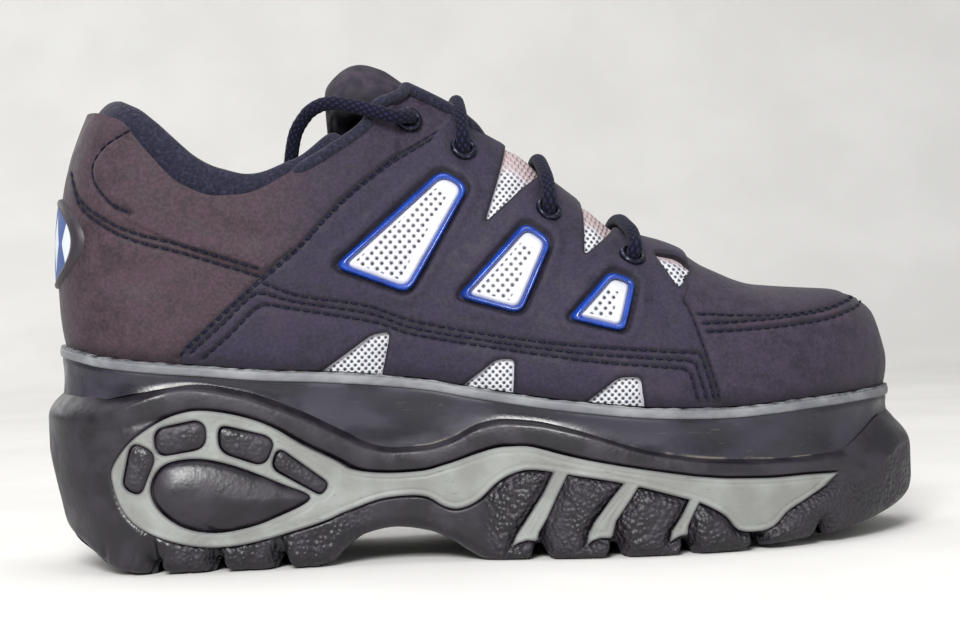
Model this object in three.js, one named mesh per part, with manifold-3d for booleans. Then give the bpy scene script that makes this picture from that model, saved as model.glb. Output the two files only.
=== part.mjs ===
// Platform lace-up shoe for the right foot, as an assembly of separate solids.
// Frame: +X towards the toe, +Y towards the wearer's left (the inner side), +Z up, millimetres.
// The origin lies on the floor, below the centre of the sole's box.
import * as THREE from "three";
import { mergeVertices } from "three/addons/utils/BufferGeometryUtils.js";
import Module from "manifold-3d";

const wasm = await Module();
wasm.setup();

// Driving sizes of the sole
const soleLength = 284;
const ballWidth = 107;
const heelRound = 39;
const toeRound = 70;
const heelStack = 71;
const wallInset = 5;
const ridgeHeight = 9;
const treadRound = 5;
const grooveDepth = 4.6;
const grooveWidth = 5.4;
const channelWidth = 7;
const inlayDepth = 2;
const weltHeight = 3.4;
const weltProud = 0.3;
const weltLap = 14;
const insoleThick = 4;

// Driving sizes of the upper
const upperRise = 76;
const upperWall = 2.6;
const baseTuck = 1.5;
const tuckHeight = 12;
const heelLean = 12;
const heelZone = 0.4;
const overlayLift = 0.9;
const guardLift = 0.5;
const recessDepth = 0.3;
const throatHalf = 14;
const throatNarrow = 10;

// Driving sizes of the small pieces
const frameWidth = 3;
const frameProud = 1.1;
const panelProud = 0.5;
const eyeletHole = 2.5;
const eyeletBarrel = 3;
const eyeletFlange = 4.4;
const eyeletLip = 0.8;
const eyeletSeat = 0.6;
const laceRadius = 2.3;
const laceClear = 1;
const tongueThick = 5.5;
const tongueTopThick = 9;
const padThick = 7;
const padDepth = 28;
const patchWidth = 50;
const patchHeight = 29;
const patchThick = 0.8;
const gap = 0.3;

// Resolution
const stations = 20;
const formSteps = 7;
const laceSides = 8;
const laceSteps = 6;
const laceEndSteps = 18;
const cornerSteps = 2;
const ringPoints = 22;
const teardropPoints = 14;
const eyeletSides = 8;
const far = 400;

// Sole outline from above: shares of length, and of ball width.
const outlineRows = [
  { along: 0.0, centre: 0.0, half: 0.364 },
  { along: 0.153, centre: -0.007, half: 0.362 },
  { along: 0.274, centre: -0.016, half: 0.357 },
  { along: 0.396, centre: -0.014, half: 0.345 },
  { along: 0.5, centre: -0.014, half: 0.387 },
  { along: 0.604, centre: -0.002, half: 0.469 },
  { along: 0.708, centre: 0.016, half: 0.5 },
  { along: 0.812, centre: 0.037, half: 0.482 },
  { along: 0.9, centre: 0.065, half: 0.45 },
  { along: 1.0, centre: 0.095, half: 0.4 },
];

// Height of the tread, with the heel's bevel, the arch and the toe spring.
// Shares of sole length and of heel stack.
const treadRows = [
  { along: 0.0, up: 0.282 },
  { along: 0.012, up: 0.162 },
  { along: 0.032, up: 0.106 },
  { along: 0.053, up: 0.042 },
  { along: 0.078, up: 0.007 },
  { along: 0.1, up: 0.0 },
  { along: 0.286, up: 0.0 },
  { along: 0.307, up: 0.023 },
  { along: 0.321, up: 0.075 },
  { along: 0.346, up: 0.138 },
  { along: 0.378, up: 0.158 },
  { along: 0.417, up: 0.135 },
  { along: 0.444, up: 0.087 },
  { along: 0.461, up: 0.042 },
  { along: 0.483, up: 0.0 },
  { along: 0.742, up: 0.0 },
  { along: 0.808, up: 0.021 },
  { along: 0.863, up: 0.037 },
  { along: 0.896, up: 0.051 },
  { along: 0.949, up: 0.089 },
  { along: 0.985, up: 0.13 },
  { along: 1.0, up: 0.183 },
];

// The wave where the outsole meets the midsole: shares of length and of heel stack.
const waveRows = [
  { along: 0.0, up: 0.789 },
  { along: 0.058, up: 0.775 },
  { along: 0.104, up: 0.801 },
  { along: 0.156, up: 0.825 },
  { along: 0.208, up: 0.79 },
  { along: 0.266, up: 0.707 },
  { along: 0.325, up: 0.59 },
  { along: 0.354, up: 0.532 },
  { along: 0.382, up: 0.51 },
  { along: 0.416, up: 0.514 },
  { along: 0.444, up: 0.541 },
  { along: 0.477, up: 0.603 },
  { along: 0.503, up: 0.621 },
  { along: 0.537, up: 0.61 },
  { along: 0.576, up: 0.575 },
  { along: 0.669, up: 0.458 },
  { along: 0.744, up: 0.411 },
  { along: 0.841, up: 0.393 },
  { along: 0.908, up: 0.407 },
  { along: 0.942, up: 0.472 },
  { along: 0.974, up: 0.538 },
  { along: 1.0, up: 0.545 },
];

// The line under the welt: shares of length and of heel stack.
const weltRows = [
  { along: 0.0, up: 0.962 },
  { along: 0.07, up: 0.908 },
  { along: 0.122, up: 0.879 },
  { along: 0.174, up: 0.858 },
  { along: 0.24, up: 0.829 },
  { along: 0.308, up: 0.81 },
  { along: 0.417, up: 0.761 },
  { along: 0.482, up: 0.708 },
  { along: 0.581, up: 0.641 },
  { along: 0.682, up: 0.596 },
  { along: 0.752, up: 0.586 },
  { along: 0.865, up: 0.606 },
  { along: 1.0, up: 0.623 },
];

// The sole's wall from tread to wave: a rise above the tread or a drop below the wave, and the inset.
const wallRows = [
  { from: "tread", step: 0, inset: wallInset },
  { from: "tread", step: 0.3 * treadRound, inset: 0.4 * wallInset },
  { from: "tread", step: treadRound, inset: 0.08 * wallInset },
  { from: "wave", step: 1.6 * ridgeHeight, inset: 0 },
  { from: "wave", step: ridgeHeight, inset: 0.12 * wallInset },
  { from: "wave", step: 0.5 * ridgeHeight, inset: 0 },
  { from: "wave", step: 0.15 * ridgeHeight, inset: 0.25 * wallInset },
  { from: "wave", step: 0, inset: wallInset },
];

// Transverse grooves of the tread: shares of length.
const grooveRows = [0.112, 0.18, 0.251, 0.54, 0.622, 0.701, 0.781, 0.857];

// Lengthwise channels of the tread: shares of length and of ball width.
const channelRows = [
  { from: 0.07, to: 0.29, centre: -0.012 },
  { from: 0.5, to: 0.86, centre: 0.01 },
];

// The inlay's heel ring, its teardrop opening and its four windows: shares of length and of heel stack.
const ringRows = [
  { along: 0.173, up: 0.715 },
  { along: 0.142, up: 0.69 },
  { along: 0.104, up: 0.613 },
  { along: 0.08, up: 0.507 },
  { along: 0.075, up: 0.423 },
  { along: 0.087, up: 0.28 },
  { along: 0.114, up: 0.186 },
  { along: 0.16, up: 0.124 },
  { along: 0.209, up: 0.118 },
  { along: 0.267, up: 0.166 },
  { along: 0.322, up: 0.235 },
  { along: 0.35, up: 0.338 },
  { along: 0.329, up: 0.448 },
  { along: 0.287, up: 0.542 },
  { along: 0.251, up: 0.631 },
  { along: 0.216, up: 0.685 },
];
const teardropRows = [
  { along: 0.289, up: 0.311 },
  { along: 0.251, up: 0.234 },
  { along: 0.216, up: 0.192 },
  { along: 0.181, up: 0.18 },
  { along: 0.148, up: 0.215 },
  { along: 0.123, up: 0.303 },
  { along: 0.118, up: 0.401 },
  { along: 0.133, up: 0.483 },
  { along: 0.167, up: 0.504 },
  { along: 0.207, up: 0.468 },
  { along: 0.258, up: 0.38 },
];
const ringWindows = [
  [
    { along: 0.099, up: 0.58 },
    { along: 0.12, up: 0.525 },
    { along: 0.104, up: 0.358 },
    { along: 0.087, up: 0.397 },
  ],
  [
    { along: 0.122, up: 0.642 },
    { along: 0.179, up: 0.679 },
    { along: 0.179, up: 0.548 },
    { along: 0.125, up: 0.518 },
  ],
  [
    { along: 0.192, up: 0.654 },
    { along: 0.255, up: 0.583 },
    { along: 0.242, up: 0.456 },
    { along: 0.192, up: 0.53 },
  ],
  [
    { along: 0.256, up: 0.544 },
    { along: 0.311, up: 0.372 },
    { along: 0.302, up: 0.318 },
    { along: 0.247, up: 0.451 },
  ],
];

// The inlay's arm, with its top and bottom line: shares of length and of heel stack.
const armRows = [
  { along: 0.301, top: 0.501, bottom: 0.206 },
  { along: 0.336, top: 0.432, bottom: 0.254 },
  { along: 0.371, top: 0.407, bottom: 0.294 },
  { along: 0.413, top: 0.408, bottom: 0.296 },
  { along: 0.435, top: 0.428, bottom: 0.248 },
  { along: 0.452, top: 0.448, bottom: 0.234 },
  { along: 0.473, top: 0.476, bottom: 0.268 },
  { along: 0.494, top: 0.499, bottom: 0.344 },
  { along: 0.512, top: 0.504, bottom: 0.383 },
  { along: 0.533, top: 0.499, bottom: 0.397 },
  { along: 0.575, top: 0.451, bottom: 0.369 },
  { along: 0.632, top: 0.401, bottom: 0.324 },
  { along: 0.702, top: 0.351, bottom: 0.242 },
  { along: 0.72, top: 0.341, bottom: 0.214 },
  { along: 0.741, top: 0.331, bottom: 0.163 },
  { along: 0.758, top: 0.327, bottom: 0.093 },
  { along: 0.794, top: 0.32, bottom: 0.097 },
  { along: 0.815, top: 0.32, bottom: 0.165 },
  { along: 0.841, top: 0.321, bottom: 0.217 },
  { along: 0.881, top: 0.315, bottom: 0.311 },
];

// The inlay's three ribs, from foot to head: shares of length and of heel stack.
const ribRows = [
  { foot: 0.527, head: 0.565, footWidth: 0.03, headWidth: 0.017, low: 0.1, high: 0.39 },
  { foot: 0.607, head: 0.635, footWidth: 0.029, headWidth: 0.02, low: 0.1, high: 0.335 },
  { foot: 0.693, head: 0.707, footWidth: 0.02, headWidth: 0.015, low: 0.1, high: 0.25 },
];

// The crest of the upper, taken over the collar as if it were closed: shares of upper length and rise.
const crestRows = [
  { along: 0.0, up: 1.645, fullness: 2.8 },
  { along: 0.103, up: 1.58, fullness: 2.7 },
  { along: 0.213, up: 1.491, fullness: 2.45 },
  { along: 0.322, up: 1.41, fullness: 2.2 },
  { along: 0.359, up: 1.353, fullness: 2.1 },
  { along: 0.403, up: 1.283, fullness: 2.0 },
  { along: 0.468, up: 1.188, fullness: 1.95 },
  { along: 0.505, up: 1.109, fullness: 1.95 },
  { along: 0.541, up: 1.046, fullness: 1.97 },
  { along: 0.585, up: 0.928, fullness: 2.0 },
  { along: 0.621, up: 0.839, fullness: 2.05 },
  { along: 0.653, up: 0.756, fullness: 2.1 },
  { along: 0.685, up: 0.715, fullness: 2.15 },
  { along: 0.732, up: 0.658, fullness: 2.25 },
  { along: 0.764, up: 0.583, fullness: 2.35 },
  { along: 0.801, up: 0.522, fullness: 2.45 },
  { along: 0.84, up: 0.48, fullness: 2.5 },
  { along: 0.899, up: 0.447, fullness: 2.55 },
  { along: 0.936, up: 0.43, fullness: 2.6 },
  { along: 0.961, up: 0.389, fullness: 2.6 },
  { along: 0.98, up: 0.328, fullness: 2.6 },
  { along: 1.0, up: 0.162, fullness: 2.6 },
];

// Side views on the upper, as shares of upper length and of rise above the heel's welt line.
const collarRows = [
  { along: 0.045, up: 0.99 },
  { along: 0.077, up: 0.947 },
  { along: 0.112, up: 0.801 },
  { along: 0.152, up: 0.655 },
  { along: 0.192, up: 0.608 },
  { along: 0.218, up: 0.617 },
  { along: 0.278, up: 0.692 },
  { along: 0.339, up: 0.818 },
  { along: 0.364, up: 0.882 },
  { along: 0.379, up: 0.961 },
  { along: 0.409, up: 1.0 },
];
const padRows = [
  { along: 0.02, up: 0.93 },
  { along: 0.049, up: 0.985 },
  { along: 0.079, up: 0.997 },
  { along: 0.096, up: 0.97 },
  { along: 0.119, up: 0.889 },
  { along: 0.139, up: 0.824 },
  { along: 0.17, up: 0.737 },
  { along: 0.194, up: 0.703 },
  { along: 0.222, up: 0.69 },
  { along: 0.276, up: 0.745 },
  { along: 0.33, up: 0.86 },
];
const tongueTopRows = [
  { along: 0.359, up: 1.2 },
  { along: 0.314, up: 1.02 },
  { along: 0.31, up: 0.9 },
  { along: 0.33, up: 0.62 },
];
const saddleRows = [
  { along: 0.46, up: 1.4 },
  { along: 0.385, up: 1.2 },
  { along: 0.385, up: 0.721 },
  { along: 0.331, up: 0.567 },
  { along: 0.283, up: 0.399 },
  { along: 0.231, up: 0.249 },
  { along: 0.145, up: -0.017 },
  { along: 0.129, up: -0.4 },
  { along: 0.756, up: -0.4 },
  { along: 0.754, up: -0.343 },
  { along: 0.73, up: 0.018 },
  { along: 0.72, up: 0.108 },
  { along: 0.737, up: 0.25 },
  { along: 0.8, up: 1.4 },
];
const collarPanelRows = [
  { along: 0.13, up: 1.1 },
  { along: 0.094, up: 0.888 },
  { along: 0.065, up: 0.83 },
  { along: 0.049, up: 0.757 },
  { along: 0.05, up: 0.679 },
  { along: 0.069, up: 0.587 },
  { along: 0.09, up: 0.513 },
  { along: 0.149, up: 0.404 },
  { along: 0.19, up: 0.347 },
  { along: 0.235, up: 0.284 },
  { along: 0.4, up: 0.6 },
  { along: 0.4, up: 1.1 },
];
const toeGuardRows = [
  { along: 0.7, up: -0.4 },
  { along: 1.1, up: -0.4 },
  { along: 1.1, up: 0.12 },
  { along: 0.957, up: 0.105 },
  { along: 0.932, up: 0.067 },
  { along: 0.897, up: 0.042 },
  { along: 0.863, up: 0.036 },
  { along: 0.829, up: 0.026 },
  { along: 0.778, up: 0.039 },
  { along: 0.7, up: 0.041 },
];
const windowOutlines = [
  {
    radius: 4,
    corners: [
      { along: 0.318, up: 0.296 },
      { along: 0.404, up: 0.172 },
      { along: 0.481, up: 0.615 },
      { along: 0.449, up: 0.69 },
    ],
  },
  {
    radius: 3.5,
    corners: [
      { along: 0.458, up: 0.153 },
      { along: 0.53, up: 0.072 },
      { along: 0.572, up: 0.375 },
      { along: 0.542, up: 0.458 },
    ],
  },
  {
    radius: 3,
    corners: [
      { along: 0.581, up: 0.048 },
      { along: 0.646, up: -0.016 },
      { along: 0.667, up: 0.198 },
      { along: 0.637, up: 0.24 },
    ],
  },
];
const meshOutlines = [
  [
    { along: 0.371, up: 0.018 },
    { along: 0.3, up: -0.165 },
    { along: 0.367, up: -0.195 },
  ],
  [
    { along: 0.51, up: -0.12 },
    { along: 0.462, up: -0.25 },
    { along: 0.517, up: -0.28 },
  ],
  [
    { along: 0.653, up: -0.207 },
    { along: 0.602, up: -0.33 },
    { along: 0.665, up: -0.36 },
  ],
  [
    { along: 0.504, up: 0.48 },
    { along: 0.572, up: 0.63 },
    { along: 0.545, up: 1.0 },
    { along: 0.523, up: 0.85 },
  ],
  [
    { along: 0.612, up: 0.312 },
    { along: 0.662, up: 0.41 },
    { along: 0.64, up: 0.7 },
    { along: 0.612, up: 0.6 },
  ],
  [
    { along: 0.72, up: 0.15 },
    { along: 0.742, up: 0.25 },
    { along: 0.72, up: 0.4 },
    { along: 0.688, up: 0.33 },
  ],
];
const eyeletRows = [
  { along: 0.415, up: 0.903 },
  { along: 0.477, up: 0.776 },
  { along: 0.571, up: 0.504 },
  { along: 0.666, up: 0.296 },
];

// The tongue from above: shares of upper length, half widths as shares of the throat's.
const tongueRows = [
  { along: 0.3, half: 1.25 },
  { along: 0.38, half: 1.3 },
  { along: 0.46, half: 1.6 },
  { along: 0.62, half: 1.6 },
  { along: 0.76, half: 1.3 },
];
const throatStart = 0.36;
const throatEnd = 0.725;

// The free end of the lace, from the outer top eyelet back over the collar and down inside it.
const laceEndPoints = [
  [-23.5, -26.5, 139.2],
  [-28, -27.6, 140.4],
  [-34, -27.9, 142],
  [-40, -27, 143.8],
  [-46, -25.2, 145.2],
  [-48.9, -23.7, 145.4],
  [-51.5, -21.8, 145],
  [-53.9, -19.9, 143.9],
  [-56, -17.8, 142.2],
  [-59.2, -14.4, 137.4],
  [-60.8, -12.2, 131],
  [-61.6, -11, 124],
  [-62, -10.6, 117],
  [-62.2, -10.4, 110],
  [-62.2, -10.4, 103],
];

// A smooth curve through a table's column, read at a share of the length.
function along(rows, column, share) {
  const last = rows.length - 1;
  if (share <= rows[0].along) return rows[0][column];
  if (share >= rows[last].along) return rows[last][column];
  let k = 0;
  while (rows[k + 1].along < share) k++;
  const steep = (i) => (rows[i + 1][column] - rows[i][column]) / (rows[i + 1].along - rows[i].along);
  const slope = (i) => {
    if (i === 0 || i === last) return 0;
    const [before, after] = [steep(i - 1), steep(i)];
    return before * after <= 0 ? 0 : (2 * before * after) / (before + after);
  };
  const [a, b] = [rows[k], rows[k + 1]];
  const span = b.along - a.along;
  const t = (share - a.along) / span;
  const [t2, t3] = [t * t, t * t * t];
  return (
    (2 * t3 - 3 * t2 + 1) * a[column] +
    (t3 - 2 * t2 + t) * span * slope(k) +
    (3 * t2 - 2 * t3) * b[column] +
    (t3 - t2) * span * slope(k + 1)
  );
}

// How far a round end has opened, from 0 at its tip to 1 where the sides run on.
function opened(distance, radius, power) {
  const left = Math.max(0, 1 - distance / radius);
  return (1 - left ** power) ** (1 / power);
}

// The outline moved inwards: the place along X, the centre line and the half width at a share.
function outline(share, inset) {
  const length = soleLength - 2 * inset;
  const heel = opened(share * length, heelRound - inset, 2.2);
  const toe = opened((1 - share) * length, toeRound - inset, 2.3);
  return {
    x: -soleLength / 2 + inset + share * length,
    centre: along(outlineRows, "centre", share) * ballWidth,
    half: (along(outlineRows, "half", share) * ballWidth - inset) * heel * toe,
  };
}

const shares = Array.from({ length: stations + 1 }, (_, i) => (1 - Math.cos((Math.PI * i) / stations)) / 2);

// The middle between the outline's two sides, which the frame puts at Y = 0.
const outlineEdges = shares.map((share) => outline(share, 0));
const outlineRight = Math.min(...outlineEdges.map((edge) => edge.centre - edge.half));
const outlineLeft = Math.max(...outlineEdges.map((edge) => edge.centre + edge.half));
const sideShift = (outlineRight + outlineLeft) / 2;

// One closed ring of points: along the right side to the toe, and back along the left side.
function ring(pointAt) {
  const right = shares.map((share) => pointAt(share, -1));
  const left = shares.map((share) => pointAt(share, 1));
  return [...right, ...left.slice(1, -1).reverse()];
}

// A closed body through rings from the lowest to the highest. A top ring whose sides meet needs no lid.
function loft(rings) {
  const count = rings[0].length;
  const faces = [];
  const quad = (a, b, c, d) => faces.push([a, b, c], [a, c, d]);
  for (let level = 0; level < rings.length - 1; level++) {
    for (let j = 0; j < count; j++) {
      const next = (j + 1) % count;
      quad(level * count + j, level * count + next, (level + 1) * count + next, (level + 1) * count + j);
    }
  }
  const topStart = (rings.length - 1) * count;
  for (let j = 0; j < count / 2; j++) {
    const across = (i) => (count - i) % count;
    quad(topStart + j, topStart + j + 1, topStart + across(j + 1), topStart + across(j));
    quad(across(j), across(j + 1), j + 1, j);
  }
  const geometry = new THREE.BufferGeometry();
  geometry.setAttribute("position", new THREE.Float32BufferAttribute(rings.flat(2), 3));
  geometry.setIndex(faces.flat());
  return solid(geometry);
}

// A manifold solid from a closed geometry, without faces of no area.
function solid(geometry) {
  const bare = geometry.clone();
  bare.deleteAttribute("normal");
  bare.deleteAttribute("uv");
  const merged = mergeVertices(bare, 1e-4);
  const index = merged.index.array;
  const kept = [];
  for (let i = 0; i < index.length; i += 3) {
    const [a, b, c] = [index[i], index[i + 1], index[i + 2]];
    if (a !== b && b !== c && c !== a) kept.push(a, b, c);
  }
  return new wasm.Manifold(
    new wasm.Mesh({
      numProp: 3,
      vertProperties: new Float32Array(merged.attributes.position.array),
      triVerts: new Uint32Array(kept),
    }),
  );
}

// A named mesh from a solid.
function piece(name, body, finish) {
  const mesh = body.getMesh();
  const geometry = new THREE.BufferGeometry();
  geometry.setAttribute("position", new THREE.BufferAttribute(mesh.vertProperties, 3));
  geometry.setIndex(new THREE.BufferAttribute(mesh.triVerts, 1));
  const result = new THREE.Mesh(geometry, finish);
  result.name = name;
  return result;
}

// A flat outline as a three.js shape.
function shapeOf(points) {
  return new THREE.Shape(points.map(([x, y]) => new THREE.Vector2(x, y)));
}

// A side view run along Y, from right to left.
function across(points, right = -far, left = far) {
  const geometry = new THREE.ExtrudeGeometry(shapeOf(points), { depth: left - right, bevelEnabled: false });
  geometry.rotateX(Math.PI / 2);
  geometry.translate(0, left, 0);
  return solid(geometry);
}

// A plan run along Z, from low to high.
function upright(points, low, high) {
  const geometry = new THREE.ExtrudeGeometry(shapeOf(points), { depth: high - low, bevelEnabled: false });
  geometry.translate(0, 0, low);
  return solid(geometry);
}

// A closed outline moved outwards by a distance.
function grow(points, distance) {
  const turned = THREE.ShapeUtils.area(points.map(([x, y]) => new THREE.Vector2(x, y))) > 0 ? 1 : -1;
  return points.map(([x, y], i) => {
    const [x0, y0] = points[(i + points.length - 1) % points.length];
    const [x1, y1] = points[(i + 1) % points.length];
    const before = new THREE.Vector2(y - y0, x0 - x).normalize();
    const after = new THREE.Vector2(y1 - y, x - x1).normalize();
    const reach = (turned * distance) / Math.max(0.4, 1 + before.dot(after));
    return [x + (before.x + after.x) * reach, y + (before.y + after.y) * reach];
  });
}

// An outline whose corners are rounded by short curves.
function rounded(corners, radius) {
  const result = [];
  corners.forEach((corner, i) => {
    const here = new THREE.Vector2(...corner);
    const before = new THREE.Vector2(...corners[(i + corners.length - 1) % corners.length]);
    const after = new THREE.Vector2(...corners[(i + 1) % corners.length]);
    const cut = Math.min(radius, 0.45 * here.distanceTo(before), 0.45 * here.distanceTo(after));
    const start = here.clone().add(before.sub(here).setLength(cut));
    const end = here.clone().add(after.sub(here).setLength(cut));
    const curve = new THREE.QuadraticBezierCurve(start, here, end);
    result.push(...curve.getPoints(cornerSteps).map((point) => [point.x, point.y]));
  });
  return result;
}

// A closed smooth outline through points.
function smooth(points, count) {
  const curve = new THREE.CatmullRomCurve3(
    points.map(([x, y]) => new THREE.Vector3(x, y, 0)),
    true,
    "centripetal",
  );
  return curve.getPoints(count).slice(0, -1).map((point) => [point.x, point.y]);
}

// A place on the side of the sole, and one on the side of the upper.
const upperInset = wallInset;
const upperLength = soleLength - 2 * upperInset;
const onSole = ({ along: share, up }) => [(share - 0.5) * soleLength, up * heelStack];
const onUpper = ({ along: share, up }) => [(share - 0.5) * upperLength, heelStack + up * upperRise];

const treadUp = (share) => along(treadRows, "up", share) * heelStack;
const waveUp = (x) => along(waveRows, "up", x / soleLength + 0.5) * heelStack;
const weltUp = (x) => along(weltRows, "up", x / soleLength + 0.5) * heelStack;

// Where the wall is lower than this, its steps below the wave shrink with it.
const lowWall = 1.6 * ridgeHeight + 2 * treadRound;

// The tread's rounding takes no more than this share of the wall.
const treadShare = 0.22;

// The outsole's block, with its wall moved inwards by an inset.
function soleBlock(inset) {
  return loft(
    wallRows.map((row) =>
      ring((share, side) => {
        const place = outline(share, row.inset + inset);
        const [low, high] = [treadUp(share), waveUp(place.x)];
        const rise = high - low;
        const up = low + Math.min(row.step, treadShare * rise);
        const down = high - row.step * Math.min(1, rise / lowWall);
        const z = row.from === "tread" ? up : down;
        return [place.x, place.centre + side * place.half - sideShift, z];
      }),
    ),
  );
}

// A plate that follows the sole's outline between two lines.
function plate(inset, lowAt, highAt) {
  return loft(
    [lowAt, highAt].map((heightAt) =>
      ring((share, side) => {
        const place = outline(share, inset);
        return [place.x, place.centre + side * place.half - sideShift, heightAt(place.x)];
      }),
    ),
  );
}

// The side view of the inlay, run across the whole sole, grown by a distance.
function inlayPrism(distance) {
  const arm = [
    ...armRows.map((row) => onSole({ along: row.along, up: row.bottom })),
    ...armRows.map((row) => onSole({ along: row.along, up: row.top })).reverse(),
  ];
  const loop = grow(smooth(ringRows.map(onSole), ringPoints), distance);
  let body = across(loop).add(across(grow(arm, distance)));
  for (const rib of ribRows) {
    const corners = [
      onSole({ along: rib.foot - rib.footWidth / 2, up: rib.low }),
      onSole({ along: rib.foot + rib.footWidth / 2, up: rib.low }),
      onSole({ along: rib.head + rib.headWidth / 2, up: rib.high }),
      onSole({ along: rib.head - rib.headWidth / 2, up: rib.high }),
    ];
    body = body.add(across(grow(corners, distance)));
  }
  for (const corners of ringWindows) {
    body = body.subtract(across(grow(rounded(corners.map(onSole), 3), -distance)));
  }
  return body.subtract(across(grow(smooth(teardropRows.map(onSole), teardropPoints), -distance)));
}

// One transverse groove of the tread.
function groove(share) {
  const [x] = onSole({ along: share, up: 0 });
  const floor = treadUp(share);
  return across([
    [x - grooveWidth / 2 - grooveDepth / 4, floor - grooveDepth],
    [x + grooveWidth / 2 + grooveDepth / 4, floor - grooveDepth],
    [x + grooveWidth / 2, floor],
    [x + grooveWidth / 4, floor + grooveDepth],
    [x - grooveWidth / 4, floor + grooveDepth],
    [x - grooveWidth / 2, floor],
  ]);
}

// One lengthwise channel of the tread.
function channel({ from, to, centre }) {
  const y = centre * ballWidth;
  const ends = [(from - 0.5) * soleLength, (to - 0.5) * soleLength];
  return upright(
    [
      [ends[0], y - channelWidth / 2],
      [ends[1], y - channelWidth / 2],
      [ends[1], y + channelWidth / 2],
      [ends[0], y + channelWidth / 2],
    ],
    -far,
    0.8 * grooveDepth,
  );
}

// The outsole: its block less the grooves, the channels and the pockets for the inlays.
const soleForm = soleBlock(0);
const soleCore = soleBlock(inlayDepth + gap);
let outsoleBody = soleForm.subtract(inlayPrism(gap).subtract(soleCore));
for (const share of grooveRows) outsoleBody = outsoleBody.subtract(groove(share));
for (const row of channelRows) outsoleBody = outsoleBody.subtract(channel(row));

// The inlays lie in those pockets, flush with the wall.
const inlayBody = soleForm.subtract(soleBlock(inlayDepth)).intersect(inlayPrism(0));
const rightHalf = across([[-far, -far], [far, -far], [far, far], [-far, far]], -far, 0);

// The midsole: a wall that follows the wave, and a raised bed inside the welt.
const weltTopUp = (x) => weltUp(x) + weltHeight;
const midsoleBody = plate(wallInset, (x) => waveUp(x) + gap, (x) => weltUp(x) - gap).add(
  plate(weltLap + gap, (x) => weltUp(x) - 2 * gap, weltTopUp),
);
const weltBody = plate(wallInset - weltProud, weltUp, weltTopUp).subtract(
  plate(weltLap, (x) => weltUp(x) - weltHeight, (x) => weltTopUp(x) + weltHeight),
);
const insoleBody = plate(
  upperInset + baseTuck + upperWall + gap,
  (x) => weltTopUp(x) + gap,
  (x) => weltTopUp(x) + gap + insoleThick,
);

// A point of the upper's skin, at a turn from the side (0) to the crest (a right angle), moved inwards.
function upperPoint(share, side, turn, inset) {
  const fullness = along(crestRows, "fullness", share);
  const rise = along(crestRows, "up", share) * upperRise - inset;
  const height = rise * Math.sin(turn) ** (2 / fullness);
  const tuck = baseTuck * Math.max(0, 1 - height / tuckHeight) ** 2;
  const place = outline(share, upperInset + inset + tuck);
  const width = place.half * Math.max(0, Math.cos(turn)) ** (2 / fullness);
  const leanShare = Math.min(1.2, Math.max(0, (height / upperRise - 0.3) / 0.7));
  const lean = heelLean * leanShare ** 2.2 * Math.max(0, 1 - share / heelZone) ** 2;
  return [place.x + lean, place.centre + side * width - sideShift, weltTopUp(place.x) + gap + height];
}

// The upper's form as one closed body, moved inwards, with a skirt below it where one is wanted.
const forms = new Map();
function form(inset, skirt = 0) {
  const key = [inset, skirt].join(" ");
  if (!forms.has(key)) {
    const rings = [];
    if (skirt > 0) {
      rings.push(
        ring((share, side) => {
          const [x, y, z] = upperPoint(share, side, 0, inset);
          return [x, y, z - skirt];
        }),
      );
    }
    for (let i = 0; i <= formSteps; i++) {
      const turn = (Math.PI / 2) * (i / formSteps);
      rings.push(ring((share, side) => upperPoint(share, i === formSteps ? 0 : side, turn, inset)));
    }
    forms.set(key, loft(rings));
  }
  return forms.get(key);
}

// A layer of the upper's form between two insets.
const layer = (outer, inner) => form(outer).subtract(form(inner));

// The place of an eyelet on the skin, with the way it faces.
function eyeletPlace({ along: share, up }, side) {
  const [, z] = onUpper({ along: share, up });
  const fullness = along(crestRows, "fullness", share);
  const rise = along(crestRows, "up", share) * upperRise + overlayLift;
  const base = weltTopUp(outline(share, upperInset).x) + gap;
  const turn = Math.asin(((z - base) / rise) ** (fullness / 2));
  const at = (s, t) => new THREE.Vector3(...upperPoint(s, side, t, -overlayLift));
  const point = at(share, turn);
  const lengthwise = at(share + 0.01, turn).sub(at(share - 0.01, turn));
  const upwards = at(share, turn + 0.05).sub(at(share, turn - 0.05));
  const facing = lengthwise.cross(upwards).normalize().multiplyScalar(-side);
  return { point, facing, share, turn };
}

// A lathe about the way an eyelet faces.
function onEyelet(place, profile) {
  const geometry = new THREE.LatheGeometry(
    profile.map(([radius, height]) => new THREE.Vector2(radius, height)),
    eyeletSides,
  );
  const turned = new THREE.Quaternion().setFromUnitVectors(new THREE.Vector3(0, 1, 0), place.facing);
  geometry.applyQuaternion(turned);
  geometry.translate(place.point.x, place.point.y, place.point.z);
  return solid(geometry);
}

const eyelets = eyeletRows.flatMap((row, i) =>
  [-1, 1].map((side) => ({
    name: "eyelet_" + (i + 1) + (side < 0 ? "_right" : "_left"),
    row: i,
    side,
    place: eyeletPlace(row, side),
  })),
);

// The throat's plan, wide at the top and narrow over the toes.
const throatPlan = [
  [(throatStart - 0.5) * upperLength, -throatHalf],
  [(throatEnd - 0.06 - 0.5) * upperLength, -throatNarrow],
  [(throatEnd - 0.5) * upperLength, -0.4 * throatNarrow],
  [(throatEnd - 0.5) * upperLength, 0.4 * throatNarrow],
  [(throatEnd - 0.06 - 0.5) * upperLength, throatNarrow],
  [(throatStart - 0.5) * upperLength, throatHalf],
];
const collarCut = across([
  ...collarRows.map(onUpper),
  onUpper({ along: 0.44, up: 1.4 }),
  onUpper({ along: 0.44, up: 4 }),
  onUpper({ along: -0.3, up: 4 }),
  onUpper({ along: -0.3, up: 1.02 }),
]);
const throatCut = upright(throatPlan, heelStack, far);

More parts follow.
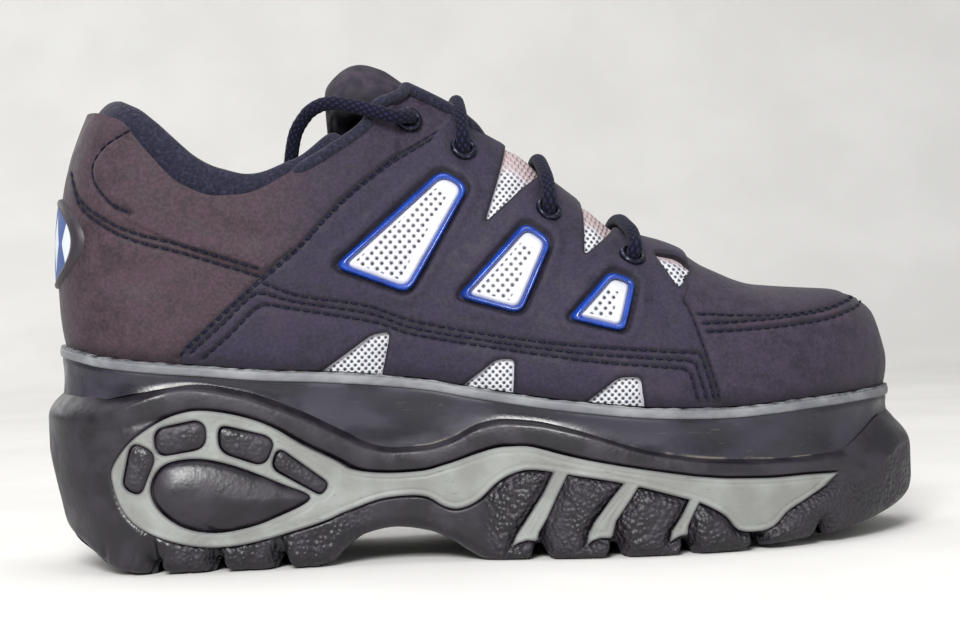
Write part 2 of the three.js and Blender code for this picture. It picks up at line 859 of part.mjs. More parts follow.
// The upper: skin and overlays, hollowed, then opened at the collar and the throat.
let upperBody = form(0)
  .add(form(-overlayLift).intersect(across(saddleRows.map(onUpper))))
  .add(form(-overlayLift).intersect(across(collarPanelRows.map(onUpper))))
  .add(form(-guardLift).intersect(across(toeGuardRows.map(onUpper))))
  .subtract(form(upperWall, 2 * weltHeight))
  .subtract(collarCut)
  .subtract(throatCut);
const recessFloor = form(recessDepth);
const windowShape = ({ corners, radius }, distance) =>
  across(rounded(grow(corners.map(onUpper), distance), Math.max(radius + 0.5 * distance, 1)));
const recesses = [
  ...windowOutlines.map((window) => windowShape(window, gap)),
  ...meshOutlines.map((corners) => across(rounded(corners.map(onUpper), 1.5))),
];
for (const recess of recesses) upperBody = upperBody.subtract(recess.subtract(recessFloor));
for (const { place } of eyelets) {
  const reach = 2 * (upperWall + overlayLift);
  const radius = eyeletBarrel + gap;
  const hole = onEyelet(place, [[0, -reach], [radius, -reach], [radius, reach], [0, reach]]);
  upperBody = upperBody.subtract(hole);
}

// The tongue lies against the upper's inside and rises out of the throat.
const tongueSkin = upperWall + gap + 0.1;
const tonguePlan = [
  ...tongueRows.map((row) => [(row.along - 0.5) * upperLength, -row.half * throatHalf]),
  ...tongueRows.map((row) => [(row.along - 0.5) * upperLength, row.half * throatHalf]).reverse(),
];
const tongueSide = across([
  ...tongueTopRows.map(onUpper),
  onUpper({ along: 0.45, up: -0.2 }),
  onUpper({ along: 0.78, up: -0.2 }),
  onUpper({ along: 0.78, up: 1.2 }),
]);
const tongueTopZone = across([
  onUpper({ along: 0.3, up: 0 }),
  onUpper({ along: 0.4, up: 0 }),
  onUpper({ along: 0.42, up: 2 }),
  onUpper({ along: 0.3, up: 2 }),
]);
const tongueBody = layer(tongueSkin, tongueSkin + tongueThick)
  .add(layer(tongueSkin, tongueSkin + tongueTopThick).intersect(tongueTopZone))
  .intersect(upright(tonguePlan, heelStack, far))
  .intersect(tongueSide);

// The padded collar roll stands above the collar's edge, inside the upper.
const padTop = padRows.map(onUpper);
const padBody = layer(upperWall + gap, upperWall + gap + padThick)
  .intersect(across([...padTop, ...padTop.map(([x, z]) => [x, z - padDepth]).reverse()]))
  .subtract(upright(grow(tonguePlan, 2 * gap), heelStack, far));

// The badge wraps round the back of the heel.
const patchPlan = Array.from({ length: 20 }, (_, i) => {
  const angle = (2 * Math.PI * i) / 20;
  return [(patchWidth / 2) * Math.cos(angle), (patchHeight / 2) * Math.sin(angle)];
});
const patchShape = new THREE.ExtrudeGeometry(shapeOf(patchPlan), { depth: 30, bevelEnabled: false });
patchShape.rotateX(Math.PI / 2);
patchShape.rotateZ(Math.PI / 2);
patchShape.translate(-soleLength / 2 - 2, -sideShift, onUpper({ along: 0, up: 0.434 })[1]);
const patchBody = layer(-gap - patchThick, -gap).intersect(solid(patchShape));

// A lace: a round section run along points.
function laceAlong(points, steps) {
  const section = new THREE.Shape().absarc(0, 0, laceRadius, 0, 2 * Math.PI);
  const sides = section.getPoints(laceSides / 2).slice(0, -1);
  const geometry = new THREE.ExtrudeGeometry(new THREE.Shape(sides), {
    steps,
    bevelEnabled: false,
    extrudePath: new THREE.CatmullRomCurve3(points),
  });
  return solid(geometry);
}

// A bar of lace over the throat, from one eyelet to the one across.
function laceBar(row) {
  const right = eyelets.find((eyelet) => eyelet.row === row && eyelet.side < 0).place;
  const endLift = overlayLift + eyeletSeat + eyeletLip + laceClear + laceRadius;
  const crestLift = overlayLift + laceClear + laceRadius;
  const points = [];
  for (let i = 0; i <= laceSteps; i++) {
    const part = (2 * i) / laceSteps - 1;
    const lift = crestLift + (endLift - crestLift) * part ** 2;
    const turn = Math.PI / 2 - Math.abs(part) * (Math.PI / 2 - right.turn);
    points.push(new THREE.Vector3(...upperPoint(right.share, part < 0 ? -1 : 1, turn, -lift)));
  }
  return laceAlong(points, laceSteps);
}

// Finishes
const finish = (color, roughness, metalness = 0) =>
  new THREE.MeshStandardMaterial({ color, roughness, metalness });
const blackRubber = finish(0x2b292d, 0.6);
const smoothRubber = finish(0x37333a, 0.5);
const greyRubber = finish(0x9c9c98, 0.6);
const weltRubber = finish(0xa2a3a6, 0.6);
const brownLeather = finish(0x453a42, 0.85);
const tongueLeather = finish(0x4c4048, 0.85);
const navyCloth = finish(0x24242f, 0.9);
const whitePanel = finish(0xe8e8ec, 0.55);
const blueFrame = finish(0x1f49a8, 0.35);
const darkMetal = finish(0x2a2b33, 0.45, 0.7);
const navyLace = finish(0x1b1c2b, 0.8);

// The shoe
const shoe = new THREE.Group();
shoe.add(piece("outsole", outsoleBody, blackRubber));
shoe.add(piece("inlay_right", inlayBody.intersect(rightHalf), greyRubber));
shoe.add(piece("inlay_left", inlayBody.subtract(rightHalf), greyRubber));
shoe.add(piece("midsole", midsoleBody, smoothRubber));
shoe.add(piece("welt", weltBody, weltRubber));
shoe.add(piece("insole", insoleBody, navyCloth));
shoe.add(piece("upper", upperBody, brownLeather));
shoe.add(piece("tongue", tongueBody, tongueLeather));
shoe.add(piece("collar_roll", padBody, navyCloth));
shoe.add(piece("heel_badge", patchBody, blueFrame));

windowOutlines.forEach((window, i) => {
  const rim = windowShape(window, 0).subtract(windowShape(window, -frameWidth));
  const frame = layer(-overlayLift - frameProud, recessDepth - gap).intersect(rim);
  const panel = layer(-panelProud, recessDepth - gap).intersect(windowShape(window, -frameWidth - gap));
  for (const [side, sideName] of [[1, "_right"], [-1, "_left"]]) {
    const half = (body) => (side > 0 ? body.intersect(rightHalf) : body.subtract(rightHalf));
    shoe.add(piece("window_frame_" + (i + 1) + sideName, half(frame), blueFrame));
    shoe.add(piece("window_panel_" + (i + 1) + sideName, half(panel), whitePanel));
  }
});

const eyeletProfile = [
  [eyeletHole, -upperWall],
  [eyeletBarrel, -upperWall],
  [eyeletBarrel, eyeletSeat],
  [eyeletFlange, eyeletSeat],
  [eyeletFlange - 0.5, eyeletSeat + eyeletLip],
  [eyeletHole, eyeletSeat + eyeletLip],
  [eyeletHole, -upperWall],
];
for (const { name, place } of eyelets) shoe.add(piece(name, onEyelet(place, eyeletProfile), darkMetal));
for (const row of [1, 2, 3]) shoe.add(piece("lace_bar_" + row, laceBar(row), navyLace));
const laceEnd = laceEndPoints.map((point) => new THREE.Vector3(...point));
shoe.add(piece("lace_end", laceAlong(laceEnd, laceEndSteps), navyLace));

export default shoe;
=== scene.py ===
"""The looks of one platform shoe for the right foot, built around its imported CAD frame.

Sizes and side views are in millimetres and are turned into metres where a mesh is made.
+X points to the toe, +Y to the inner side, +Z up, as in the frame.
"""
import logging
import math
from dataclasses import dataclass, field
from enum import Enum

import bpy
import numpy as np
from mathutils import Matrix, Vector


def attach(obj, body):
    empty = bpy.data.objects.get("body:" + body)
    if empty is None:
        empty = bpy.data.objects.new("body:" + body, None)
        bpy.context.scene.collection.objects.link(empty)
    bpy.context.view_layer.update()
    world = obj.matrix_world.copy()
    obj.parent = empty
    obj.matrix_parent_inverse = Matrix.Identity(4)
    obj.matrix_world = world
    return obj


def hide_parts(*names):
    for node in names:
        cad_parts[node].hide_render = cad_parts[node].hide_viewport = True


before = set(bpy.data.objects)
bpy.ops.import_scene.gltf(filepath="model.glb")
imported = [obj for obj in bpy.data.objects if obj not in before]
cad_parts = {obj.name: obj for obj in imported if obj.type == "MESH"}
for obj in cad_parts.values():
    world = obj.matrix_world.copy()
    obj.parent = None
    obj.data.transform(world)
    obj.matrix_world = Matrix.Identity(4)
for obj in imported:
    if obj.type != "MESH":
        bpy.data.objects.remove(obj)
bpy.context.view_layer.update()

MM = 0.001
GAP = 0.3
LOG = logging.getLogger("shoe")

Points = np.ndarray
Rows = list[tuple[float, ...]]
Tree = bpy.types.NodeTree
Socket = bpy.types.NodeSocket


class Side(Enum):
    """The two sides of the shoe, with the way each faces along Y."""

    OUTER = -1
    INNER = 1


# Curves and outlines


class Table:
    """A smooth curve through rows of numbers, without overshoot between them."""

    def __init__(self, rows: Rows) -> None:
        """Keep the rows."""
        self.rows = np.array(rows, float)

    def at(self, share: Points, column: int = 1) -> Points:
        """Read one column.

        Args:
            share: Places along the length.
            column: Which value of each row is read.

        Returns:
            The values there.
        """
        x, y = self.rows[:, 0], self.rows[:, column]
        steep = np.diff(y) / np.diff(x)
        slope = np.zeros(len(x))
        product = steep[:-1] * steep[1:]
        total = np.where(product > 0, steep[:-1] + steep[1:], 1.0)
        slope[1:-1] = np.where(product > 0, 2 * product / total, 0.0)
        place = np.clip(share, x[0], x[-1])
        k = np.clip(np.searchsorted(x, place, side="left") - 1, 0, len(x) - 2)
        span = x[k + 1] - x[k]
        t = (place - x[k]) / span
        lean = (t**3 - 2 * t**2 + t) * slope[k] + (t**3 - t**2) * slope[k + 1]
        return (2 * t**3 - 3 * t**2 + 1) * y[k] + (3 * t**2 - 2 * t**3) * y[k + 1] + span * lean


def step(value: Points, low: float, high: float) -> Points:
    """A soft step from 0 at low to 1 at high."""
    t = np.clip((value - low) / (high - low), 0, 1)
    return t * t * (3 - 2 * t)


def bend(four: list[Points], t: Points) -> Points:
    """A smooth curve's points between the second and third of four points."""
    p0, p1, p2, p3 = four
    square = 2 * p0 - 5 * p1 + 4 * p2 - p3
    cube = 3 * p1 - p0 - 3 * p2 + p3
    return 0.5 * (2 * p1 + (p2 - p0) * t + square * t**2 + cube * t**3)


def smooth_loop(points: Points, count: int) -> Points:
    """A closed smooth curve through points.

    Args:
        points: The points in order, in any number of dimensions.
        count: How many points the curve gets.

    Returns:
        The curve's points.
    """
    p = np.asarray(points, float)
    n = len(p)
    place = np.arange(count) * n / count
    k = place.astype(int)
    t = (place - k)[:, None]
    return bend([p[(k + i) % n] for i in (-1, 0, 1, 2)], t)


def smooth_line(points: Points, count: int) -> Points:
    """An open smooth curve through points, with even steps along it.

    Args:
        points: The points in order, in any number of dimensions.
        count: How many points the curve gets.

    Returns:
        The curve's points.
    """
    p = np.asarray(points, float)
    padded = np.vstack([2 * p[0] - p[1], p, 2 * p[-1] - p[-2]])
    place = np.linspace(0, len(p) - 1, 16 * len(p))
    k = np.minimum(place.astype(int), len(p) - 2)
    t = (place - k)[:, None]
    return even_line(bend([padded[k + i] for i in range(4)], t), count)


def even_line(points: Points, count: int) -> Points:
    """The same line with even steps along it."""
    steps = np.linalg.norm(np.diff(points, axis=0), axis=1)
    run = np.concatenate([[0], np.cumsum(steps)])
    at = np.linspace(0, run[-1], count)
    return np.stack([np.interp(at, run, points[:, i]) for i in range(points.shape[1])], axis=1)


def rounded(corners: Points, radius: float, steps: int = 6) -> Points:
    """A closed outline whose corners are rounded.

    Args:
        corners: The corners in order.
        radius: How far from a corner its rounding starts.
        steps: Points in each rounding.

    Returns:
        The outline's points.
    """
    p = np.asarray(corners, float)
    result = []
    for i, here in enumerate(p):
        before, after = p[i - 1], p[(i + 1) % len(p)]
        gap_before, gap_after = np.linalg.norm(before - here), np.linalg.norm(after - here)
        cut = min(radius, 0.45 * gap_before, 0.45 * gap_after)
        start = here + (before - here) * cut / gap_before
        end = here + (after - here) * cut / gap_after
        t = np.linspace(0, 1, steps + 1)[:, None]
        result.append((1 - t) ** 2 * start + 2 * t * (1 - t) * here + t**2 * end)
    return np.vstack(result)


def grow(points: Points, distance: float) -> Points:
    """A closed outline moved outwards."""
    p = np.asarray(points, float)
    area = np.sum(p[:, 0] * np.roll(p[:, 1], -1) - np.roll(p[:, 0], -1) * p[:, 1])
    turned = math.copysign(1, area)
    ahead = np.roll(p, -1, axis=0) - p
    normal = np.stack([ahead[:, 1], -ahead[:, 0]], axis=1)
    normal /= np.maximum(np.linalg.norm(normal, axis=1, keepdims=True), 1e-9)
    before = np.roll(normal, 1, axis=0)
    reach = turned * distance / np.maximum(0.4, 1 + np.sum(before * normal, axis=1, keepdims=True))
    return p + (before + normal) * reach


def line_distance(places: Points, line: Points, closed: bool = False) -> tuple[Points, Points]:
    """How far places are from a line, and how far along it.

    Args:
        places: Points of a side view, one row each.
        line: The line's points.
        closed: True where the last point joins the first.

    Returns:
        The distances, and the run along the line at the nearest point.
    """
    ends = np.roll(line, -1, axis=0) if closed else line[1:]
    starts = line if closed else line[:-1]
    best = np.full(len(places), 1e9)
    run = np.zeros(len(places))
    done = 0.0
    for a, b in zip(starts, ends):
        along = b - a
        length = float(np.linalg.norm(along))
        if length < 1e-9:
            continue
        t = np.clip((places - a) @ along / length**2, 0, 1)
        gap = np.hypot(places[:, 0] - a[0] - t * along[0], places[:, 1] - a[1] - t * along[1])
        nearer = gap < best
        best = np.where(nearer, gap, best)
        run = np.where(nearer, done + t * length, run)
        done += length
    return best, run


def inside_distance(places: Points, outline: Points) -> Points:
    """How far places lie inside a closed outline, below 0 outside it."""
    gap, _ = line_distance(places, outline, closed=True)
    inside = np.zeros(len(places), bool)
    x, z = places[:, 0], places[:, 1]
    for a, b in zip(outline, np.roll(outline, -1, axis=0)):
        if a[1] == b[1]:
            continue
        crosses = (a[1] > z) != (b[1] > z)
        inside ^= crosses & (x < (b[0] - a[0]) * (z - a[1]) / (b[1] - a[1]) + a[0])
    return np.where(inside, gap, -gap)


# Meshes


@dataclass
class Skin:
    """A triangle mesh as arrays, in millimetres, with numbers at its points."""

    points: Points
    faces: Points
    marks: dict[str, Points] = field(default_factory=dict)

    def clip(self, values: Points) -> "Skin":
        """The part where values are above 0, cut along the line between.

        Args:
            values: One number for each point.

        Returns:
            The part, with its marks.
        """
        values = np.where(np.abs(values) < 1e-4, 1e-4, values)
        keep = values > 0
        count = keep[self.faces].sum(axis=1)
        whole = self.faces[count == 3]
        cut = self.faces[(count == 1) | (count == 2)]
        single = keep[cut].sum(axis=1) == 1
        alone = np.argmax(keep[cut] == single[:, None], axis=1)
        rows = np.arange(len(cut))
        a, b, c = (cut[rows, (alone + i) % 3] for i in range(3))
        pairs = np.vstack([np.stack([a, b], 1), np.stack([a, c], 1)])
        low, high = pairs.min(axis=1), pairs.max(axis=1)
        keys, index = np.unique(low.astype(np.int64) * len(values) + high, return_inverse=True)
        first, second = keys // len(values), keys % len(values)
        t = values[first] / (values[first] - values[second])
        new = len(values) + index.reshape(-1)
        ab, ac = new[: len(cut)], new[len(cut) :]
        faces = [
            whole,
            np.stack([a, ab, ac], 1)[single],
            np.stack([ab, b, c], 1)[~single],
            np.stack([ab, c, ac], 1)[~single],
        ]

        def mixed(column: Points) -> Points:
            """The column with the values on the cut added."""
            share = t.reshape((-1,) + (1,) * (column.ndim - 1))
            return np.concatenate([column, column[first] * (1 - share) + column[second] * share])

        marks = {name: mixed(column) for name, column in self.marks.items()}
        return Skin(mixed(self.points), np.vstack(faces), marks).tidy()

    def tidy(self) -> "Skin":
        """The same mesh without unused points and empty faces."""
        a, b, c = self.faces.T
        faces = self.faces[(a != b) & (b != c) & (c != a)]
        used, index = np.unique(faces, return_inverse=True)
        marks = {name: column[used] for name, column in self.marks.items()}
        return Skin(self.points[used], index.reshape(-1, 3), marks)

    def weld(self, digits: int = 3) -> "Skin":
        """The same mesh with points at one place joined."""
        rounded = np.round(self.points, digits)
        _, first, index = np.unique(rounded, axis=0, return_index=True, return_inverse=True)
        marks = {name: column[first] for name, column in self.marks.items()}
        return Skin(self.points[first], index.reshape(-1)[self.faces], marks).tidy()

    def normals(self) -> Points:
        """The way the mesh faces at each point."""
        a, b, c = (self.points[self.faces[:, i]] for i in range(3))
        facing = np.cross(b - a, c - a)
        total = np.zeros_like(self.points)
        for i in range(3):
            np.add.at(total, self.faces[:, i], facing)
        return total / np.maximum(np.linalg.norm(total, axis=1, keepdims=True), 1e-12)

    def rimmed(self, depth: float) -> "Skin":
        """The mesh with a wall from each open edge inwards.

        Args:
            depth: How far the wall goes.

        Returns:
            The mesh with its walls.
        """
        edges = np.vstack([self.faces[:, [0, 1]], self.faces[:, [1, 2]], self.faces[:, [2, 0]]])
        ordered = np.sort(edges, axis=1)
        _, index, counts = np.unique(ordered, axis=0, return_inverse=True, return_counts=True)
        rim = edges[counts[index.reshape(-1)] == 1]
        used, place = np.unique(rim, return_inverse=True)
        place = place.reshape(-1, 2)
        base = len(self.points)
        normals = self.normals()[used]
        top = self.points[used]
        points = np.vstack([self.points, top, top - normals * depth])
        a, b = base + place[:, 0], base + place[:, 1]
        low = len(used)
        walls = np.vstack([np.stack([b, a, a + low], 1), np.stack([b, a + low, b + low], 1)])
        marks = {
            name: np.concatenate([column, column[used], column[used]]) for name, column in self.marks.items()
        }
        return Skin(points, np.vstack([self.faces, walls]), marks)


def grid_faces(rows: int, columns: int, closed: bool = False, flip: bool = False) -> Points:
    """Triangles over a grid of points, row after row.

    Args:
        rows: Points one way.
        columns: Points the other way, the faster one.
        closed: True where the last column joins the first.
        flip: True where the faces should look the other way.

    Returns:
        The triangles.
    """
    i, j = np.meshgrid(np.arange(rows - 1), np.arange(columns if closed else columns - 1), indexing="ij")
    i, j = i.ravel(), j.ravel()
    ahead = (j + 1) % columns
    a, b = i * columns + j, i * columns + ahead
    c, d = (i + 1) * columns + ahead, (i + 1) * columns + j
    faces = np.vstack([np.stack([a, b, c], 1), np.stack([a, c, d], 1)])
    return faces[:, ::-1] if flip else faces


def joined(parts: list[Skin]) -> Skin:
    """Several meshes as one, with the marks that all of them have."""
    names = set.intersection(*(set(part.marks) for part in parts))
    starts = np.cumsum([0] + [len(part.points) for part in parts[:-1]])
    return Skin(
        np.vstack([part.points for part in parts]),
        np.vstack([part.faces + start for part, start in zip(parts, starts)]),
        {name: np.concatenate([part.marks[name] for part in parts]) for name in names},
    )


def tube(path: Points, rings: Points, closed: bool = False) -> Skin:
    """Rings of points carried along a path, without twist.

    Args:
        path: The path's points.
        rings: For each path point, the ring's points as (across, up) in the path's own turned frame.
        closed: True where the path's end joins its start.

    Returns:
        The tube, with caps where it is open.
    """
    ahead = np.gradient(path, axis=0)
    if closed:
        ahead = np.roll(path, -1, axis=0) - np.roll(path, 1, axis=0)
    ahead /= np.linalg.norm(ahead, axis=1, keepdims=True)
    up = np.zeros_like(path)
    start = np.array([0.0, 0.0, 1.0]) if abs(ahead[0, 2]) < 0.8 else np.array([0.0, 1.0, 0.0])
    up[0] = start - ahead[0] * (start @ ahead[0])
    up[0] /= np.linalg.norm(up[0])
    for k in range(1, len(path)):
        turned = up[k - 1] - ahead[k] * (up[k - 1] @ ahead[k])
        up[k] = turned / np.linalg.norm(turned)
    across = np.cross(ahead, up)
    points = path[:, None, :] + rings[:, :, :1] * across[:, None, :] + rings[:, :, 1:] * up[:, None, :]
    count, around = points.shape[:2]
    faces = grid_faces(count, around, closed=True)
    flat = points.reshape(-1, 3)
    if closed:
        last = (count - 1) * around + np.arange(around)
        first = np.arange(around)
        ahead_ring = np.roll(first, -1)
        faces = np.vstack([
            faces,
            np.stack([last, np.roll(last, -1), ahead_ring], 1),
            np.stack([last, ahead_ring, first], 1),
        ])
        return Skin(flat, faces)
    ends = []
    for ring, flip in ((0, True), (count - 1, False)):
        spokes = np.arange(1, around - 1)
        fan = ring * around + np.stack([0 * spokes, spokes, spokes + 1], 1)
        ends.append(fan[:, ::-1] if flip else fan)
    return Skin(flat, np.vstack([faces, *ends]))


def show(
    name: str, skin: Skin, material: bpy.types.Material, nodes: tuple[str, ...] = (),
) -> bpy.types.Object:
    """Make a piece of the shoe from a mesh.

    Args:
        name: The piece's name.
        skin: Its mesh, in millimetres.
        material: Its finish.
        nodes: The CAD nodes that it stands for.

    Returns:
        The new object, which rides on the shoe's one body.
    """
    mesh = bpy.data.meshes.new(name)
    count = len(skin.faces)
    mesh.vertices.add(len(skin.points))
    mesh.vertices.foreach_set("co", (skin.points * MM).astype(np.float32).ravel())
    mesh.loops.add(3 * count)
    mesh.loops.foreach_set("vertex_index", skin.faces.astype(np.int32).ravel())
    mesh.polygons.add(count)
    mesh.polygons.foreach_set("loop_start", np.arange(0, 3 * count, 3, dtype=np.int32))
    mesh.polygons.foreach_set("use_smooth", np.ones(count, bool))
    for mark, column in skin.marks.items():
        layer = mesh.attributes.new(mark, "FLOAT", "POINT")
        layer.data.foreach_set("value", column.astype(np.float32))
    mesh.update(calc_edges=True)
    mesh.validate()
    mesh.materials.append(material)
    piece = bpy.data.objects.new(name, mesh)
    bpy.context.scene.collection.objects.link(piece)
    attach(piece, "root")
    if nodes:
        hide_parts(*nodes)
    LOG.info("%s: %d triangles", name, count)
    return piece


# The shape that sole and upper share


@dataclass
class Last:
    """The outline, the lines along the sole's side and the form of the upper."""

    sole_length: float = 284
    ball_width: float = 107
    heel_round: float = 39
    toe_round: float = 70
    heel_stack: float = 71
    wall_inset: float = 5
    welt_height: float = 3.4
    insole_thick: float = 4
    upper_rise: float = 76
    upper_wall: float = 2.6
    base_tuck: float = 1.5
    tuck_height: float = 12
    heel_lean: float = 12
    heel_zone: float = 0.4
    throat_half: float = 14
    throat_narrow: float = 10
    throat_start: float = 0.36
    throat_end: float = 0.725

    def __post_init__(self) -> None:
        """Read the tables, all in shares of the sizes above."""
        self.outline_rows = Table([
            (0.0, 0.0, 0.364), (0.153, -0.007, 0.362), (0.274, -0.016, 0.357), (0.396, -0.014, 0.345),
            (0.5, -0.014, 0.387), (0.604, -0.002, 0.469), (0.708, 0.016, 0.5), (0.812, 0.037, 0.482),
            (0.9, 0.065, 0.45), (1.0, 0.095, 0.4),
        ])
        self.tread_rows = Table([
            (0.0, 0.282), (0.012, 0.162), (0.032, 0.106), (0.053, 0.042), (0.078, 0.007), (0.1, 0.0),
            (0.286, 0.0), (0.307, 0.023), (0.321, 0.075), (0.346, 0.138), (0.378, 0.158), (0.417, 0.135),
            (0.444, 0.087), (0.461, 0.042), (0.483, 0.0), (0.742, 0.0), (0.808, 0.021), (0.863, 0.037),
            (0.896, 0.051), (0.949, 0.089), (0.985, 0.13), (1.0, 0.183),
        ])
        self.wave_rows = Table([
            (0.0, 0.789), (0.058, 0.775), (0.104, 0.801), (0.156, 0.825), (0.208, 0.79), (0.266, 0.707),
            (0.325, 0.59), (0.354, 0.532), (0.382, 0.51), (0.416, 0.514), (0.444, 0.541), (0.477, 0.603),
            (0.503, 0.621), (0.537, 0.61), (0.576, 0.575), (0.669, 0.458), (0.744, 0.411), (0.841, 0.393),
            (0.908, 0.407), (0.942, 0.472), (0.974, 0.538), (1.0, 0.545),
        ])
        self.welt_rows = Table([
            (0.0, 0.962), (0.07, 0.908), (0.122, 0.879), (0.174, 0.858), (0.24, 0.829), (0.308, 0.81),
            (0.417, 0.761), (0.482, 0.708), (0.581, 0.641), (0.682, 0.596), (0.752, 0.586), (0.865, 0.606),
            (1.0, 0.623),
        ])
        self.crest_rows = Table([
            (0.0, 1.645, 2.8), (0.103, 1.58, 2.7), (0.213, 1.491, 2.45), (0.322, 1.41, 2.2),
            (0.359, 1.353, 2.1), (0.403, 1.283, 2.0), (0.468, 1.188, 1.95), (0.505, 1.109, 1.95),
            (0.541, 1.046, 1.97), (0.585, 0.928, 2.0), (0.621, 0.839, 2.05), (0.653, 0.756, 2.1),
            (0.685, 0.715, 2.15), (0.732, 0.658, 2.25), (0.764, 0.583, 2.35), (0.801, 0.522, 2.45),
            (0.84, 0.48, 2.5), (0.899, 0.447, 2.55), (0.936, 0.43, 2.6), (0.961, 0.389, 2.6),
            (0.98, 0.328, 2.6), (1.0, 0.162, 2.6),
        ])
        self.collar_rows = Table([
            (-0.3, 0.97), (0.045, 0.975), (0.077, 0.94), (0.112, 0.798), (0.152, 0.65), (0.192, 0.597),
            (0.218, 0.603), (0.278, 0.692), (0.339, 0.818), (0.364, 0.882), (0.379, 0.961), (0.409, 1.0),
            (0.44, 1.4), (0.45, 4.0),
        ])
        self.side_shift = 0.0
        x, centre, half = self.outline(self.even_shares(400), 0)
        self.side_shift = float(((centre - half).min() + (centre + half).max()) / 2)

    @property
    def upper_length(self) -> float:
        """The length that the upper's side views are shares of."""
        return self.sole_length - 2 * self.wall_inset

    def opened(self, distance: Points, radius: float, power: float) -> Points:
        """How far a round end has opened, from 0 at its tip to 1."""
        return (1 - np.maximum(0, 1 - distance / radius) ** power) ** (1 / power)

    def outline(self, share: Points, inset: Points) -> tuple[Points, Points, Points]:
        """The sole's outline, moved inwards.

        Args:
            share: Places along the length.
            inset: How far inwards.

        Returns:
            The place along X, the centre line and the half width.
        """
        length = self.sole_length - 2 * inset
        heel = self.opened(share * length, self.heel_round - inset, 2.2)
        toe = self.opened((1 - share) * length, self.toe_round - inset, 2.3)
        x = -self.sole_length / 2 + inset + share * length
        centre = self.outline_rows.at(share, 1) * self.ball_width - self.side_shift
        half = (self.outline_rows.at(share, 2) * self.ball_width - inset) * heel * toe
        return x, centre, half

    def even_shares(self, count: int) -> Points:
        """Places along the length with even steps round the outline's side."""
        dense = (1 - np.cos(np.linspace(0, math.pi, 6000))) / 2
        x, _, half = self.outline(dense, 0)
        run = np.concatenate([[0], np.cumsum(np.hypot(np.diff(x), np.diff(half)))])
        return np.interp(np.linspace(0, run[-1], count), run, dense)

    def on_sole(self, rows: Rows) -> Points:
        """A side view on the sole, from shares to millimetres."""
        shares = np.array(rows, float)
        return np.stack([(shares[:, 0] - 0.5) * self.sole_length, shares[:, 1] * self.heel_stack], 1)

    def on_upper(self, rows: Rows) -> Points:
        """A side view on the upper, from shares to millimetres."""
        shares = np.array(rows, float)
        x = (shares[:, 0] - 0.5) * self.upper_length
        return np.stack([x, self.heel_stack + shares[:, 1] * self.upper_rise], 1)

    def tread_up(self, share: Points) -> Points:
        """Height of the tread."""
        return self.tread_rows.at(share) * self.heel_stack

    def wave_up(self, x: Points) -> Points:
        """Height of the wave between outsole and midsole."""
        return self.wave_rows.at(x / self.sole_length + 0.5) * self.heel_stack

    def welt_up(self, x: Points) -> Points:
        """Height of the line under the welt."""
        return self.welt_rows.at(x / self.sole_length + 0.5) * self.heel_stack

    def collar_up(self, x: Points) -> Points:
        """Height of the collar's leather edge."""
        return self.heel_stack + self.collar_rows.at(x / self.upper_length + 0.5) * self.upper_rise

    def throat_width(self, x: Points) -> Points:
        """Half the throat's width, 0 where it is closed."""
        start = (self.throat_start - 0.5) * self.upper_length
        end = (self.throat_end - 0.5) * self.upper_length
        curve_start = end - 0.06 * self.upper_length
        straight = np.interp(x, [start, curve_start], [self.throat_half, self.throat_narrow])
        past = np.maximum(0, x - curve_start) / (end - curve_start)
        closing = np.sqrt(np.maximum(0, 1 - past**2))
        return np.where(x < start, 0, straight * closing)

    def upper_point(self, share: Points, side: Points, turn: Points, inset: Points) -> Points:
        """A point of the upper's form.

        Args:
            share: Place along the length.
            side: -1 on the outer side, 1 on the inner one.
            turn: From 0 at the side to a right angle at the crest.
            inset: How far inwards, below 0 for a lift.

        Returns:
            The points, X, Y and Z last.
        """
        share, side, turn, inset = np.broadcast_arrays(share, side, turn, inset)
        fullness = self.crest_rows.at(share, 2)
        rise = self.crest_rows.at(share, 1) * self.upper_rise - inset
        height = rise * np.maximum(0, np.sin(turn)) ** (2 / fullness)
        tuck = self.base_tuck * np.maximum(0, 1 - height / self.tuck_height) ** 2
        x, centre, half = self.outline(share, self.wall_inset + inset + tuck)
        width = half * np.maximum(0, np.cos(turn)) ** (2 / fullness)
        lean_share = np.clip((height / self.upper_rise - 0.3) / 0.7, 0, 1.2)
        lean = self.heel_lean * lean_share**2.2 * np.maximum(0, 1 - share / self.heel_zone) ** 2
        up = self.welt_up(x) + self.welt_height + GAP + height
        return np.stack([x + lean, centre + side * width, up], axis=-1)

    def turn_at(self, share: Points, up: Points, inset: Points) -> Points:
        """The turn at which a section of the form reaches a height."""
        fullness = self.crest_rows.at(share, 2)
        rise = self.crest_rows.at(share, 1) * self.upper_rise - inset
        height = np.full(np.shape(share), 40.0)
        for _ in range(4):
            tuck = self.base_tuck * np.maximum(0, 1 - height / self.tuck_height) ** 2
            x, _, _ = self.outline(share, self.wall_inset + inset + tuck)
            height = np.clip(up - self.welt_up(x) - self.welt_height - GAP, 0, rise)
        return np.arcsin(np.clip(height / rise, 0, 1) ** (fullness / 2))

    def locate(self, view: Points, side: int, lift: Points) -> tuple[Points, Points]:
        """The place on the form of points in a side view.

        Args:
            view: The points, X and Z.
            side: -1 on the outer side, 1 on the inner one.
            lift: How far the form is moved outwards.

        Returns:
            The shares and the turns.
        """
        share = np.clip(view[:, 0] / self.upper_length + 0.5, 0.001, 0.999)
        turn = self.turn_at(share, view[:, 1], -lift)
        for _ in range(8):
            turn = self.turn_at(share, view[:, 1], -lift)
            here = self.upper_point(share, side, turn, -lift)
            share = np.clip(share + (view[:, 0] - here[:, 0]) / self.upper_length, 0.0005, 0.9995)
        return share, turn

